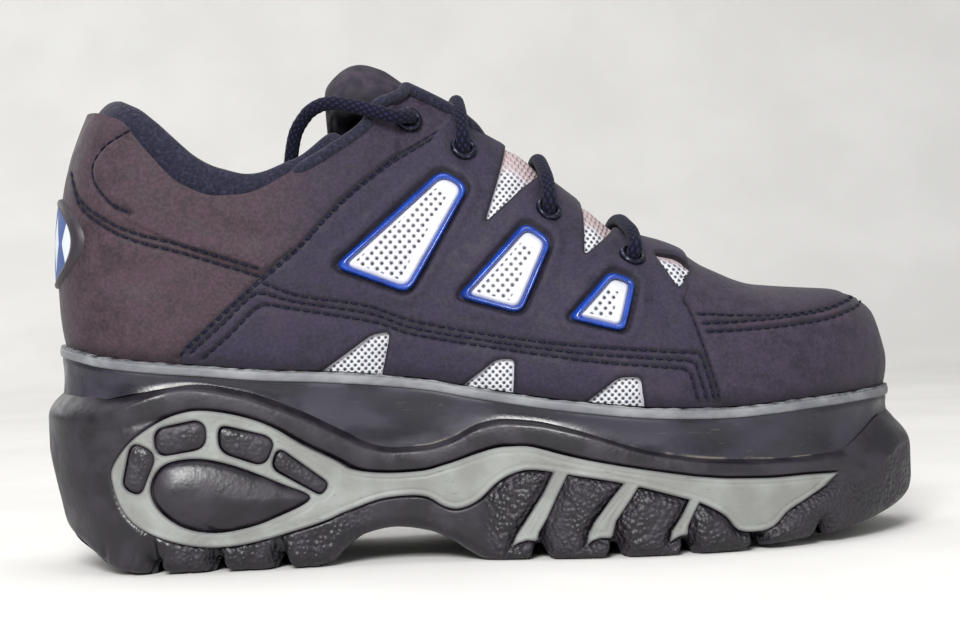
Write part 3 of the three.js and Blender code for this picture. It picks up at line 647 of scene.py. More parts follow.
    def on_side(self, view: Points, side: int, lift: Points = 0.0) -> Points:
        """Points of a side view laid on the form."""
        lift = np.broadcast_to(lift, (len(view),))
        share, turn = self.locate(view, side, lift)
        return self.upper_point(share, side, turn, -lift)

    def facing(self, view: Points, side: int) -> Points:
        """The way the form faces at points of a side view."""
        out = self.on_side(view, side, 0.5) - self.on_side(view, side, 0.0)
        share, turn = self.locate(view, side, np.zeros(len(view)))
        here = self.upper_point(share, side, turn, 0.0)
        ahead = self.upper_point(np.minimum(share + 0.002, 1), side, turn, 0.0) - here
        up = self.upper_point(share, side, np.minimum(turn + 0.01, math.pi / 2), 0.0) - here
        normal = np.cross(ahead, up)
        normal /= np.maximum(np.linalg.norm(normal, axis=1, keepdims=True), 1e-9)
        return normal * np.sign(np.sum(normal * (out + [0, 0.01 * side, 0]), axis=1, keepdims=True))

    def crown(self, share: Points, y: Points, inset: Points) -> Points:
        """Points of the form above places in its plan."""
        fullness = self.crest_rows.at(share, 2)
        _, centre, half = self.outline(share, self.wall_inset + inset)
        offset = np.clip(np.abs(y - centre) / half, 0, 1)
        turn = np.arccos(offset ** (fullness / 2))
        return self.upper_point(share, np.sign(y - centre + 1e-9), turn, inset)


# The sole


@dataclass
class Sole:
    """The outsole with its inlays, the midsole, the welt and the insole."""

    last: Last
    columns: int = 960
    rows: int = 78
    ridge_height: float = 9
    tread_round: float = 5
    groove_depth: float = 4.6
    groove_width: float = 5.4
    channel_width: float = 7
    inlay_depth: float = 1.4
    teardrop_bulge: float = 3.2
    pad_bulge: float = 0.9

    def __post_init__(self) -> None:
        """Read the side's outlines, in shares of sole length and heel stack, and the ring of places."""
        on_sole = self.last.on_sole
        self.grooves = [0.112, 0.18, 0.251, 0.54, 0.622, 0.701, 0.781, 0.857]
        self.channels = [(0.07, 0.29, -0.012), (0.5, 0.86, 0.01)]
        self.loop = smooth_loop(on_sole([
            (0.173, 0.715), (0.142, 0.69), (0.104, 0.613), (0.08, 0.507), (0.075, 0.423), (0.087, 0.28),
            (0.114, 0.186), (0.16, 0.124), (0.209, 0.118), (0.267, 0.166), (0.322, 0.235), (0.35, 0.338),
            (0.329, 0.448), (0.287, 0.542), (0.251, 0.631), (0.216, 0.685),
        ]), 80)
        self.teardrop = smooth_loop(on_sole([
            (0.289, 0.311), (0.251, 0.234), (0.216, 0.192), (0.181, 0.18), (0.148, 0.215), (0.123, 0.303),
            (0.118, 0.401), (0.133, 0.483), (0.167, 0.504), (0.207, 0.468), (0.258, 0.38),
        ]), 66)
        self.loop_windows = [
            rounded(on_sole(corners), 4) for corners in (
                [(0.098, 0.595), (0.126, 0.535), (0.106, 0.35), (0.086, 0.39)],
                [(0.122, 0.642), (0.179, 0.679), (0.179, 0.548), (0.125, 0.518)],
                [(0.192, 0.654), (0.255, 0.583), (0.242, 0.456), (0.192, 0.53)],
                [(0.256, 0.544), (0.311, 0.372), (0.302, 0.318), (0.247, 0.451)],
            )
        ]
        arm = [
            (0.301, 0.501, 0.206), (0.336, 0.432, 0.254), (0.371, 0.407, 0.294), (0.413, 0.408, 0.296),
            (0.435, 0.428, 0.248), (0.452, 0.448, 0.234), (0.473, 0.476, 0.268), (0.494, 0.499, 0.344),
            (0.512, 0.504, 0.383), (0.533, 0.499, 0.397), (0.575, 0.451, 0.369), (0.632, 0.401, 0.324),
            (0.702, 0.351, 0.242), (0.72, 0.341, 0.214), (0.741, 0.331, 0.163), (0.758, 0.327, 0.093),
            (0.794, 0.32, 0.097), (0.815, 0.32, 0.165), (0.841, 0.321, 0.217), (0.881, 0.315, 0.311),
        ]
        top = smooth_line(on_sole([(share, high) for share, high, _ in arm]), 90)
        bottom = smooth_line(on_sole([(share, low) for share, _, low in arm]), 90)
        self.arm = np.vstack([bottom, top[::-1]])
        self.ribs = [
            on_sole(corners) for corners in (
                [
                    (0.507, 0.06), (0.516, 0.078), (0.525, 0.088),
                    (0.535, 0.082), (0.537, 0.12), (0.546, 0.18),
                    (0.559, 0.29), (0.573, 0.4), (0.556, 0.4), (0.542, 0.29), (0.524, 0.18), (0.512, 0.11),
                ],
                [
                    (0.587, 0.06), (0.593, 0.08), (0.602, 0.092),
                    (0.615, 0.09), (0.62, 0.163), (0.637, 0.257),
                    (0.652, 0.35), (0.634, 0.35), (0.614, 0.257), (0.596, 0.163), (0.589, 0.11),
                ],
                [
                    (0.677, 0.06), (0.683, 0.075), (0.69, 0.088),
                    (0.697, 0.09), (0.699, 0.13), (0.705, 0.178),
                    (0.718, 0.27), (0.704, 0.27), (0.692, 0.178), (0.68, 0.11),
                ],
            )
        ]
        shares = self.last.even_shares(self.columns // 2 + 1)
        self.share = np.concatenate([shares, shares[-2:0:-1]])
        self.side = np.concatenate([np.full(len(shares), -1.0), np.full(len(shares) - 2, 1.0)])

    def at_wall(self, inset: Points, up: Points) -> Points:
        """Points round the sole, at an inset and a height."""
        x, centre, half = self.last.outline(self.share, inset)
        return np.stack(np.broadcast_arrays(x, centre + self.side * half, up), axis=-1)

    def notched_tread(self, share: Points) -> Points:
        """Height of the tread with its cross grooves."""
        up = self.last.tread_up(share)
        for place in self.grooves:
            off = np.abs(share - place) * self.last.sole_length
            up = up + self.groove_depth * (1 - step(off, 0.15 * self.groove_width, 0.8 * self.groove_width))
        return up

    def inlay_distance(self, view: Points) -> Points:
        """How far places of the side view lie inside the inlay."""
        body = np.maximum(inside_distance(view, self.loop), inside_distance(view, self.arm))
        for rib in self.ribs:
            body = np.maximum(body, inside_distance(view, rib))
        for hole in [self.teardrop, *self.loop_windows]:
            body = np.minimum(body, -inside_distance(view, hole))
        return body

    def wall_inset(self, above: Points, below: Points, x: Points) -> Points:
        """The wall's own profile.

        Args:
            above: Height above the tread.
            below: Drop below the wave.
            x: Place along the length.

        Returns:
            How far the wall stands inside the outline.
        """
        foot = np.clip(above / self.tread_round, 0, 1)
        low = self.last.wall_inset * (1 - np.sqrt(1 - (1 - foot) ** 2))
        half = self.ridge_height / 2
        roll = np.sqrt(np.maximum(0, 1 - ((below - half) / half) ** 2))
        under = 1 - step(below, self.ridge_height, 13)
        ends = step(x, -128, -100) * (1 - step(x, 104, 122))
        ridge = 1.3 * ends * np.where(below < self.ridge_height, 1 - roll, under)
        reach = 1.6 + 6 * (1 - step(x, -132, -100)) + 9 * step(x, 104, 126)
        lip = self.last.wall_inset * np.clip(1 - below / reach, 0, 1) ** 2
        return np.maximum(low, np.minimum(ridge + lip, self.last.wall_inset))

    def wall(self) -> Skin:
        """The outsole's wall with marks for its patterns, before the relief."""
        x0, _, _ = self.last.outline(self.share, 0)
        low, high = self.notched_tread(self.share), self.last.wave_up(x0)
        up = low + (high - low) * np.linspace(0, 1, self.rows)[:, None]
        inset = self.wall_inset(up - low, high - up, x0)
        points = self.at_wall(inset, up)
        view = points[:, :, [0, 2]].reshape(-1, 2)
        inlay = self.inlay_distance(view)
        relief = self.relief(view, inlay, (up - low).ravel(), (high - up).ravel())
        points = self.at_wall(inset - relief.reshape(inset.shape), up)
        shape = inset.shape
        marks = {
            "inlay": inlay,
            "inset": (inset - relief.reshape(shape)).ravel(),
            "share": np.broadcast_to(self.share, shape).ravel().copy(),
            "side": np.broadcast_to(self.side, shape).ravel().copy(),
            "above": (up - self.last.tread_up(self.share)).ravel(),
            "below": (high - up).ravel(),
            "grain": self.grain(view, (up - low).ravel(), (high - up).ravel()),
        }
        return Skin(points.reshape(-1, 3), grid_faces(self.rows, len(self.share), closed=True), marks)

    def grain(self, view: Points, above: Points, below: Points) -> Points:
        """How strong the mould's leather grain is.

        Args:
            view: Places of the side view.
            above: Height above the tread.
            below: Drop below the wave.

        Returns:
            The strength, from 0 to 1.
        """
        x = view[:, 0]
        fore = step(x, -8, 0) * step(below, self.ridge_height, self.ridge_height + 2)
        heel = (1 - step(x, -44, -38)) * step(x, -106, -98) * (1 - step(above, 9, 14))
        windows = 0 * x
        for window in self.loop_windows:
            windows = np.maximum(windows, 0.45 * step(inside_distance(view, window), 0.5, 1.5))
        return np.maximum(0.07, np.maximum(np.maximum(fore, 0.8 * heel), windows))

    def relief(self, view: Points, inlay: Points, above: Points, below: Points) -> Points:
        """How far the black wall stands proud of its plain form.

        Args:
            view: Places of the side view.
            inlay: How far they lie inside the inlay.
            above: Height above the tread.
            below: Drop below the wave.

        Returns:
            The lift at each place.
        """
        x, z = view.T
        lift = -self.inlay_depth * step(inlay, -0.9, 0.3)
        drop = inside_distance(view, self.teardrop)
        dome = np.clip(drop / 11, 0, 1)
        swollen = self.teardrop_bulge * (1 - (1 - dome) ** 2) - 0.8 * (1 - step(drop, 0.2, 1.4))
        lift = np.where(drop > 0, swollen, lift)
        for window in self.loop_windows:
            deep = inside_distance(view, window)
            pad = self.pad_bulge * (1 - (1 - np.clip(deep / 3, 0, 1)) ** 2) - 0.5 * (1 - step(deep, 0.1, 0.8))
            lift = np.where(deep > 0, pad, lift)
        outside = step(-inlay, 0.5, 3.5)
        fore = step(x, -8, 0)
        lift += 0.5 * step(x, 108, 128) * step(below, 2, 12) * step(above, -1, 6)
        lift -= 2.8 * (1 - step(x, -138, -108)) * (1 - step(above, 1, 20))
        start = self.ridge_height - 6 * step(x, 100, 124)
        proud = np.clip((below - start) / (self.ridge_height + 4 - start), 0, 1)
        lift += 1.7 * outside * fore * (1 - (1 - proud) ** 2) * (inlay < 0)
        for place in self.grooves[:-1]:
            off = x - (place - 0.5) * self.last.sole_length
            lift -= 2.2 * np.exp(-((off / 2.6) ** 2)) * (1 - step(above, 2, 12)) * (inlay < 0)
        for k, place in enumerate(np.linspace(-127, -52, 9)):
            off = x - place - 0.25 * z
            lift -= 0.7 * np.exp(-((off / 0.9) ** 2)) * (1 - step(z, 5, 11 + k % 3)) * step(-inlay, 0.5, 2)
        return lift

    def inlay(self, wall: Skin, side: Side) -> Skin:
        """The grey inlay of one side, proud of its pocket with a rounded rim."""
        part = wall.clip(wall.marks["inlay"] - 0.1)
        part = part.clip(part.points[:, 1] * side.value)
        deep = part.marks["inlay"]
        rim = np.sqrt(1 - (1 - np.clip(deep / 1.1, 0, 1)) ** 2)
        line = 0.22 * np.exp(-(((deep - 1.9) / 0.35) ** 2))
        proud = 0.35 * rim - line
        x, centre, half = self.last.outline(part.marks["share"], -proud)
        part.points[:, 0] = x
        part.points[:, 1] = centre + part.marks["side"] * half
        return part.rimmed(self.inlay_depth + 0.3)

    def tread(self) -> Skin:
        """The sole's underside with its grooves and channels."""
        shares = self.last.even_shares(360)
        across = np.linspace(-1, 1, 58)
        inset = self.last.wall_inset
        x, centre, half = self.last.outline(shares, inset)
        y = centre[:, None] + half[:, None] * across
        up = np.broadcast_to(self.notched_tread(shares)[:, None], y.shape).copy()
        place = np.broadcast_to(shares[:, None], y.shape)
        for start, end, middle in self.channels:
            off = np.abs(y - middle * self.last.ball_width)
            along = step(place, start - 0.004, start + 0.004) * (1 - step(place, end - 0.004, end + 0.004))
            side = self.channel_width / 2
            depth = self.groove_depth * 0.8 * (1 - step(off, side - 0.8, side))
            up = np.maximum(up, self.last.tread_up(place) + depth * along)
        points = np.stack([np.broadcast_to(x[:, None], y.shape), y, up], axis=-1).reshape(-1, 3)
        zeros = np.zeros(len(points))
        marks = {"inlay": zeros - 9, "above": zeros, "below": zeros + 30, "grain": zeros + 0.5}
        return Skin(points, grid_faces(len(shares), len(across)), marks)

    def band(self, heights: Points, insets: Points, marks: dict[str, Points]) -> Skin:
        """A closed band round the sole.

        Args:
            heights: Rows by columns.
            insets: Likewise.
            marks: Numbers at the points, likewise.

        Returns:
            The band.
        """
        points = self.at_wall(insets, heights).reshape(-1, 3)
        flat = {name: np.broadcast_to(value, heights.shape).ravel().copy() for name, value in marks.items()}
        return Skin(points, grid_faces(len(heights), len(self.share), closed=True), flat)

    def midsole(self) -> Skin:
        """The smooth wall between the wave and the welt."""
        x, _, _ = self.last.outline(self.share, self.last.wall_inset)
        low, high = self.last.wave_up(x) - 0.4, self.last.welt_up(x)
        part = np.linspace(0, 1, 26)[:, None]
        up = low + (high - low) * part
        hollow = 0.5 * np.sin(math.pi * part) + 0.35 * np.exp(-(((1 - part) * (high - low) / 0.8) ** 2))
        return self.band(up, self.last.wall_inset + hollow, {"above": up - low, "below": high - up})

    def welt(self) -> Skin:
        """The light strip round the foot of the upper, with a worn upper edge."""
        x, _, _ = self.last.outline(self.share, self.last.wall_inset)
        turn = np.linspace(-0.5, 0.5, 24)[:, None] * math.pi
        worn = 0.16 * np.sin(x * 0.31) * np.sin(x * 0.13 + self.side) + 0.1 * np.sin(x * 1.1 + 2 * self.side)
        middle = self.last.welt_up(x) + self.last.welt_height / 2
        high = self.last.welt_height / 2
        swell = high * np.sign(np.sin(turn)) * np.abs(np.sin(turn)) ** 0.55
        up = middle + swell + worn * step(turn, 0.3, 1.2)
        line = 0.35 * np.exp(-(((turn - 0.45) / 0.16) ** 2))
        inset = self.last.wall_inset + 0.5 + line - 1.0 * np.cos(turn) ** 0.6 + 2.2 * (np.abs(turn) > 1.56)
        return self.band(up, inset, {"above": np.broadcast_to(turn, up.shape)})

    def insole(self) -> Skin:
        """The insole's top, a little raised round its edge."""
        shares = self.last.even_shares(240)
        across = np.linspace(-1, 1, 60)
        inset = self.last.wall_inset + self.last.base_tuck + self.last.upper_wall + GAP
        x, centre, half = self.last.outline(shares, inset)
        y = centre[:, None] + half[:, None] * across
        top = self.last.welt_up(x) + self.last.welt_height + GAP + self.last.insole_thick
        cup = 1.2 * np.abs(across) ** 6 - 0.8 * np.exp(-((across / 0.5) ** 2))
        up = top[:, None] + cup[None, :]
        points = np.stack([np.broadcast_to(x[:, None], y.shape), y, up], axis=-1).reshape(-1, 3)
        return Skin(points, grid_faces(len(shares), 60, flip=True))


# The upper


@dataclass
class Upper:
    """The leather upper with its panels, windows, mesh panels, stitches, creases and lining."""

    last: Last
    columns: int = 400
    rows: int = 108
    overlay_lift: float = 0.9
    guard_lift: float = 0.5
    mesh_depth: float = 0.8
    leather_edge: float = 1.3
    frame_width: float = 2.1
    frame_proud: float = 1.1
    panel_proud: float = 0.6
    groove_depth: float = 0.3
    stitch_pitch: float = 3.1
    stitch_radius: float = 0.33

    def __post_init__(self) -> None:
        """Read the side views: panels in shares of the upper's length and rise, seams in millimetres."""
        on_upper = self.last.on_upper
        self.saddle = on_upper([
            (0.53, 1.6), (0.46, 0.885), (0.385, 0.721), (0.331, 0.567), (0.283, 0.399), (0.231, 0.249),
            (0.145, -0.017), (0.129, -0.4), (0.756, -0.4), (0.754, -0.343), (0.73, 0.018), (0.72, 0.108),
            (0.737, 0.25), (0.8, 1.4),
        ])
        self.collar_panel = on_upper([
            (0.13, 1.1), (0.094, 0.888), (0.065, 0.83), (0.049, 0.757), (0.05, 0.679), (0.069, 0.587),
            (0.09, 0.513), (0.149, 0.404), (0.19, 0.347), (0.235, 0.284), (0.4, 0.6), (0.4, 1.1),
        ])
        self.toe_guard = on_upper([
            (0.7, -0.4), (1.1, -0.4), (1.1, 0.12), (0.957, 0.105), (0.932, 0.067), (0.897, 0.042),
            (0.863, 0.036), (0.829, 0.026), (0.778, 0.039), (0.7, 0.041),
        ])
        self.windows = [
            (4.0, on_upper([(0.318, 0.296), (0.404, 0.172), (0.481, 0.615), (0.449, 0.69)])),
            (3.5, on_upper([(0.458, 0.153), (0.53, 0.072), (0.572, 0.375), (0.542, 0.458)])),
            (3.0, on_upper([(0.581, 0.048), (0.646, -0.016), (0.667, 0.198), (0.637, 0.24)])),
        ]
        self.openings = [
            rounded(on_upper(corners), 1.8) for corners in (
                [(0.381, 0.02), (0.36, 0.01), (0.288, -0.165), (0.367, -0.2)],
                [(0.52, -0.11), (0.5, -0.11), (0.448, -0.25), (0.517, -0.28)],
                [(0.66, -0.2), (0.635, -0.2), (0.586, -0.33), (0.665, -0.36)],
                [(0.495, 0.455), (0.541, 0.59), (0.57, 0.655), (0.575, 0.95), (0.56, 1.05)],
                [(0.6075, 0.305), (0.653, 0.41), (0.665, 0.44), (0.65, 0.72), (0.622, 0.62)],
                [(0.715, 0.15), (0.74, 0.235), (0.724, 0.285), (0.695, 0.305)],
            )
        ]
        self.seams = [smooth_line(np.array(points), 60) for points in self.seam_lines()]

    def seam_lines(self) -> list[Rows]:
        """The stitched lines of one side, X and Z in millimetres."""
        rear = [(-14.6, 135.7), (-31.3, 125.8), (-46.3, 114.1), (-59.2, 101.3), (-73.6, 89.9), (-97, 69.7)]
        guard = [
            (-72, 89.3), (-60.4, 84.8), (-39.8, 81.0), (-22.7, 74.9), (14.8, 67.6), (53, 63.3), (60.5, 62.8),
            (63.4, 62.2), (64.5, 58.5), (67.4, 47.5),
        ]
        middle_guard = [
            (-95, 68.4), (-84.5, 77.2), (-76, 85), (-71.5, 86), (-62.3, 83.1), (-38.5, 78.4), (-22.8, 72.8),
            (19.5, 64.8), (51, 61.1), (58.3, 60.4), (61.4, 59.8), (62.5, 56), (64.9, 47.5),
        ]
        low_guard = [
            (-91.3, 66.4), (-82, 74.2), (-75.5, 80.6), (-71.5, 82.6), (-64.2, 81.2), (-37.3, 75.7),
            (-22.9, 70.8), (24.1, 62), (48.9, 58.9), (56.3, 58), (59.3, 57.2), (60.4, 53.8), (62.1, 47.5),
        ]
        front = [(60.3, 79.2), (63, 72.4), (69.6, 47.5)]
        toe = [(64.8, 74.6), (90.2, 73), (108.7, 74.2), (119.5, 76.3), (128, 79)]
        low_toe = [(66.7, 69), (87.1, 69.2), (98.6, 69.9), (110.8, 71.1), (121.8, 73.7), (130, 76)]
        collar = [
            (-131.2, 126.9), (-128.5, 117.9), (-121.7, 111.8), (-112.2, 106.6), (-96.1, 101.7), (-72.5, 93.6),
        ]
        tab = [
            (-111.1, 138.5), (-119.1, 134.1), (-123.3, 128.5),
            (-123, 122.6), (-117.8, 115.6), (-112.1, 112.4),
        ]

        def beside(line: Rows, right: float, up: float) -> Rows:
            """The same line moved."""
            return [(x + right, z + up) for x, z in line]

        between_toe = beside(low_toe, -1, 2.6)
        return [
            rear, beside(rear, -1.8, -2.4), guard, middle_guard, low_guard, beside(front, -0.4, 0),
            toe, between_toe, low_toe, collar, beside(collar, 0.4, -2.5), tab,
        ]

    def grid(self) -> Skin:
        """The bare form of both sides, up to the collar and the throat."""
        shares = self.last.even_shares(self.columns)
        sides = []
        for side in Side:
            low, high = np.zeros(self.columns), np.full(self.columns, math.pi / 2)
            for _ in range(26):
                middle = (low + high) / 2
                here = self.last.upper_point(shares, side.value, middle, 0)
                x, y, z = here.T
                width = self.last.throat_width(x)
                cut = (z > self.last.collar_up(x)) | ((side.value * y < width) & (width > 0))
                high = np.where(cut, middle, high)
                low = np.where(cut, low, middle)
            closed = high > math.pi / 2 - 1e-4
            top = np.where(closed, math.pi / 2, low)
            part = np.linspace(0, 1, 160)[:, None]
            turns = top * part
            dense = self.last.upper_point(shares, side.value, turns, 0)
            run = np.cumsum(np.linalg.norm(np.diff(dense, axis=0), axis=2), axis=0)
            run = np.vstack([np.zeros((1, self.columns)), run])
            lines = [
                np.interp(np.linspace(0, run[-1, j], self.rows), run[:, j], turns[:, j])
                for j in range(self.columns)
            ]
            even = np.stack(lines, axis=1)
            share = np.broadcast_to(shares, even.shape)
            points = self.last.upper_point(share, side.value, even, 0).reshape(-1, 3)
            marks = {
                "share": share.ravel().copy(),
                "turn": even.ravel(),
                "side": np.full(even.size, float(side.value)),
            }
            faces = grid_faces(self.rows, self.columns, flip=side is Side.INNER)
            sides.append(Skin(points, faces, marks))
        return joined(sides)

    def at(self, skin: Skin, lift: Points) -> Skin:
        """The same mesh with every point laid on the form at a lift."""
        marks = skin.marks
        inset = -np.broadcast_to(lift, len(skin.points))
        points = self.last.upper_point(marks["share"], marks["side"], marks["turn"], inset)
        return Skin(points, skin.faces, marks)

    def folds(self, view: Points, y: Points) -> Points:
        """The main creases and soft swellings of worn leather.

        Args:
            view: Places of the side view.
            y: Their places across.

        Returns:
            The lift that they give.
        """
        creases = [
            ([(-92, 112), (-78, 104), (-64, 103)], 0.7, 3.2),
            ([(-58, 118), (-46, 108), (-40, 96)], 0.5, 3.5),
            ([(-118, 100), (-104, 88), (-96, 78)], 0.35, 5.0),
            ([(44, 88), (52, 79), (54, 70)], 0.6, 2.6),
            ([(31, 92), (36, 82), (46, 74)], 0.5, 2.8),
            ([(66, 88), (72, 82), (76, 70)], 0.45, 3.0),
            ([(2, 96), (8, 86), (20, 78)], 0.4, 3.0),
            ([(-126, 96), (-112, 92), (-100, 96)], 0.35, 4.0),
            ([(84, 84), (96, 81), (112, 83)], 0.3, 3.5),
        ]
        lift = np.zeros(len(view))
        for line, depth, width in creases:
            curve = smooth_line(np.array(line, float), 24)
            gap, run = line_distance(view, curve)
            length = np.linalg.norm(np.diff(curve, axis=0), axis=1).sum()
            fade = np.sin(math.pi * np.clip(run / length, 0.02, 0.98)) ** 0.6
            lift -= depth * fade * np.exp(-((gap / width) ** 2))
            lift += 0.6 * depth * fade * np.exp(-(((gap - 2.1 * width) / (1.3 * width)) ** 2))
        x, z = view.T
        side = np.tanh(y / 12)
        lift += 0.22 * np.sin(x / 11 + 1.3 * side) * np.sin(z / 9 + 0.5)
        lift += 0.12 * np.sin(x / 5.3 + z / 6.1 + side)
        return lift

    def leather_lift(self, skin: Skin) -> tuple[Points, Points]:
        """The relief of the leather.

        Args:
            skin: The bare form.

        Returns:
            The lift, and the distance to the nearest seam.
        """
        view = skin.points[:, [0, 2]]
        height = skin.points[:, 2] - self.last.welt_up(skin.points[:, 0])
        calm = step(height, 5, 16)
        lift = self.overlay_lift * step(inside_distance(view, self.saddle), -0.5, 0.5)
        lift = np.maximum(lift, self.overlay_lift * step(inside_distance(view, self.collar_panel), -0.5, 0.5))
        lift = np.maximum(lift, self.guard_lift * step(inside_distance(view, self.toe_guard), -0.6, 0.6))
        lift += self.folds(view, skin.points[:, 1]) * calm
        seam = np.full(len(view), 9.0)
        for line in self.seams:
            gap, _ = line_distance(view, line)
            seam = np.minimum(seam, gap)
        lift -= self.groove_depth * np.exp(-((seam / 0.8) ** 2))
        lift -= 0.18 * np.exp(-((seam / 2.2) ** 2))
        tab, _ = line_distance(view, self.seams[-1])
        lift -= 0.55 * np.exp(-((tab / 1.2) ** 2))
        for radius, corners in self.windows:
            edge = inside_distance(view, rounded(grow(corners, 0.6), radius))
            lift += 0.45 * np.exp(-(((edge + 2.2) / 1.6) ** 2)) - 1.5 * step(edge, -0.7, 0.4)
            seam = np.minimum(seam, np.abs(edge + 0.2) + 0.2)
        return lift, seam

    def opening_distance(self, view: Points) -> Points:
        """How far places lie inside the nearest mesh opening."""
        best = np.full(len(view), -99.0)
        for outline in self.openings:
            best = np.maximum(best, inside_distance(view, outline))
        return best

    def leather(self, form: Skin) -> Skin:
        """The leather, cut open over the mesh panels."""
        skin = form.weld()
        view = skin.points[:, [0, 2]]
        lift, seam = self.leather_lift(skin)
        opening = self.opening_distance(view)
        lift = lift - 0.5 * np.exp(-((np.minimum(opening, 0) / 0.7) ** 2))
        saddle = step(inside_distance(view, self.saddle), -1.0, 1.0)
        skin.marks["saddle"] = np.maximum(saddle, 0.8 * step(view[:, 0], -76, -45))
        skin.marks["seam"] = seam
        skin.marks["opening"] = np.maximum(opening, -9)
        skin.marks["up"] = skin.points[:, 2] - self.last.welt_up(skin.points[:, 0])
        skin = self.at(skin, lift).clip(-skin.marks["opening"])
        return skin.rimmed(self.leather_edge + self.mesh_depth)

    def mesh_panels(self, form: Skin) -> Skin:
        """The white mesh that shows through the leather's openings."""
        opening = self.opening_distance(form.points[:, [0, 2]])
        lift = np.full(len(opening), -self.mesh_depth) + 0.5 * step(opening, 0.5, 4)
        skin = self.at(form, lift)
        skin.marks["border"] = opening
        skin.marks["punched"] = opening
        return skin.clip(opening + 1.0).weld()

    def lining(self) -> Skin:
        """The inner face of the upper."""
        coarse = Upper(self.last, columns=150, rows=40)
        inside = coarse.at(coarse.grid(), -self.last.upper_wall)
        inside.faces = inside.faces[:, ::-1]
        return inside.weld()

    def window_outline(self, number: int, inwards: float) -> Points:
        """A window's outline, moved inwards, with even steps."""
        radius, corners = self.windows[number]
        outline = rounded(grow(corners, -inwards), max(radius - 0.5 * inwards, 1.2), 8)
        closed = np.vstack([outline, outline[:1]])
        return even_line(closed, 121)[:-1]

    def window_frame(self, number: int, side: Side) -> Skin:
        """A raised rim with a round back, run round a window."""
        rings = []
        height = self.overlay_lift + self.frame_proud
        for part in np.linspace(0, 1, 13):
            back = math.sin(math.pi * part) ** 0.55
            lift = -0.6 + (height + 0.6) * back
            outline = self.window_outline(number, self.frame_width * part)
            rings.append(self.last.on_side(outline, side.value, lift))
        points = np.array(rings)
        faces = grid_faces(len(rings), points.shape[1], closed=True, flip=side is Side.INNER)
        return Skin(points.reshape(-1, 3), self.outward(points.reshape(-1, 3), faces, side))

    def outward(self, points: Points, faces: Points, side: Side) -> Points:
        """The faces turned so that most look away from the shoe's middle."""
        a, b, c = (points[faces[:, i]] for i in range(3))
        facing = np.cross(b - a, c - a)[:, 1].sum() * side.value
        return faces if facing > 0 else faces[:, ::-1]

    def window_panel(self, number: int, side: Side) -> Skin:
        """The white panel inside a frame, from rings that close on its middle."""
        inner = self.frame_width - 0.5
        rings = []
        outline = self.window_outline(number, inner)
        middle = outline.mean(axis=0)
        parts = np.concatenate([np.linspace(0, 0.2, 6), np.linspace(0.25, 0.995, 26)])
        for part in parts:
            ring = outline + (middle - outline) * part
            deep = inside_distance(ring, outline)
            lift = -0.3 + (self.panel_proud + 0.3) * step(deep, 0, 1.3) + 0.35 * step(deep, 1.5, 6)
            rings.append((self.last.on_side(ring, side.value, lift), deep))
        points = np.array([ring for ring, _ in rings])
        border = np.concatenate([deep for _, deep in rings])
        faces = grid_faces(len(rings), points.shape[1], closed=True)
        flat = points.reshape(-1, 3)
        corners = self.windows[number][1]
        right, _ = line_distance(flat[:, [0, 2]], corners[1:3])
        top, _ = line_distance(flat[:, [0, 2]], corners[2:4])
        punched = np.minimum(border, np.minimum(right - inner - 1.6, top - inner - 2.4))
        return Skin(flat, self.outward(flat, faces, side), {"border": border, "punched": punched})

    def stitches(self) -> Skin:
        """Every stitch of both sides, as short round threads that dip at their ends."""
        found = []
        for line in self.seams:
            length = np.linalg.norm(np.diff(line, axis=0), axis=1).sum()
            count = max(2, int(length / self.stitch_pitch))
            places = even_line(line, 4 * count + 1)[:-1].reshape(count, 4, 2)
            found += [four for four in places if self.opening_distance(four).max() < -0.4]
        return joined([self.threads(np.array(found), side) for side in Side])

    def threads(self, stitches: Points, side: Side) -> Skin:
        """Threads along short lines of the side view.

        Args:
            stitches: For each stitch, four points along it.
            side: The side of the shoe.

        Returns:
            The threads as one mesh.
        """
        count = len(stitches)
        flat = stitches.reshape(-1, 2)
        bare = Skin(self.last.on_side(flat, side.value, 0.0), np.zeros((0, 3), int))
        lift, _ = self.leather_lift(bare)
        dip = np.tile([-0.17, 0.1, 0.1, -0.17], count)
        centre = self.last.on_side(flat, side.value, lift + 0.18 + dip).reshape(count, 4, 3)
        out = self.last.facing(flat, side.value).reshape(count, 4, 3)
        ahead = centre[:, 3] - centre[:, 0]
        ahead /= np.linalg.norm(ahead, axis=1, keepdims=True)
        across = np.cross(ahead[:, None, :], out)
        sides = 6
        angle = np.linspace(0, 2 * math.pi, sides, endpoint=False)
        size = self.stitch_radius * np.array([0.6, 1, 1, 0.6])[None, :, None, None]
        ring = across[:, :, None, :] * np.cos(angle)[:, None] + out[:, :, None, :] * np.sin(angle)[:, None]
        points = (centre[:, :, None, :] + size * ring).reshape(-1, 3)
        one = np.vstack([grid_faces(4, sides, closed=True), [[0, 2, 1], [0, 3, 2], [0, 4, 3], [0, 5, 4]]])
        last = 3 * sides
        cap = np.array([[last, last + k, last + k + 1] for k in range(1, sides - 1)])
        one = np.vstack([one, cap])
        faces = (one[None] + (np.arange(count) * 4 * sides)[:, None, None]).reshape(-1, 3)
        return Skin(points, faces)


# The tongue, the collar's roll and the small pieces


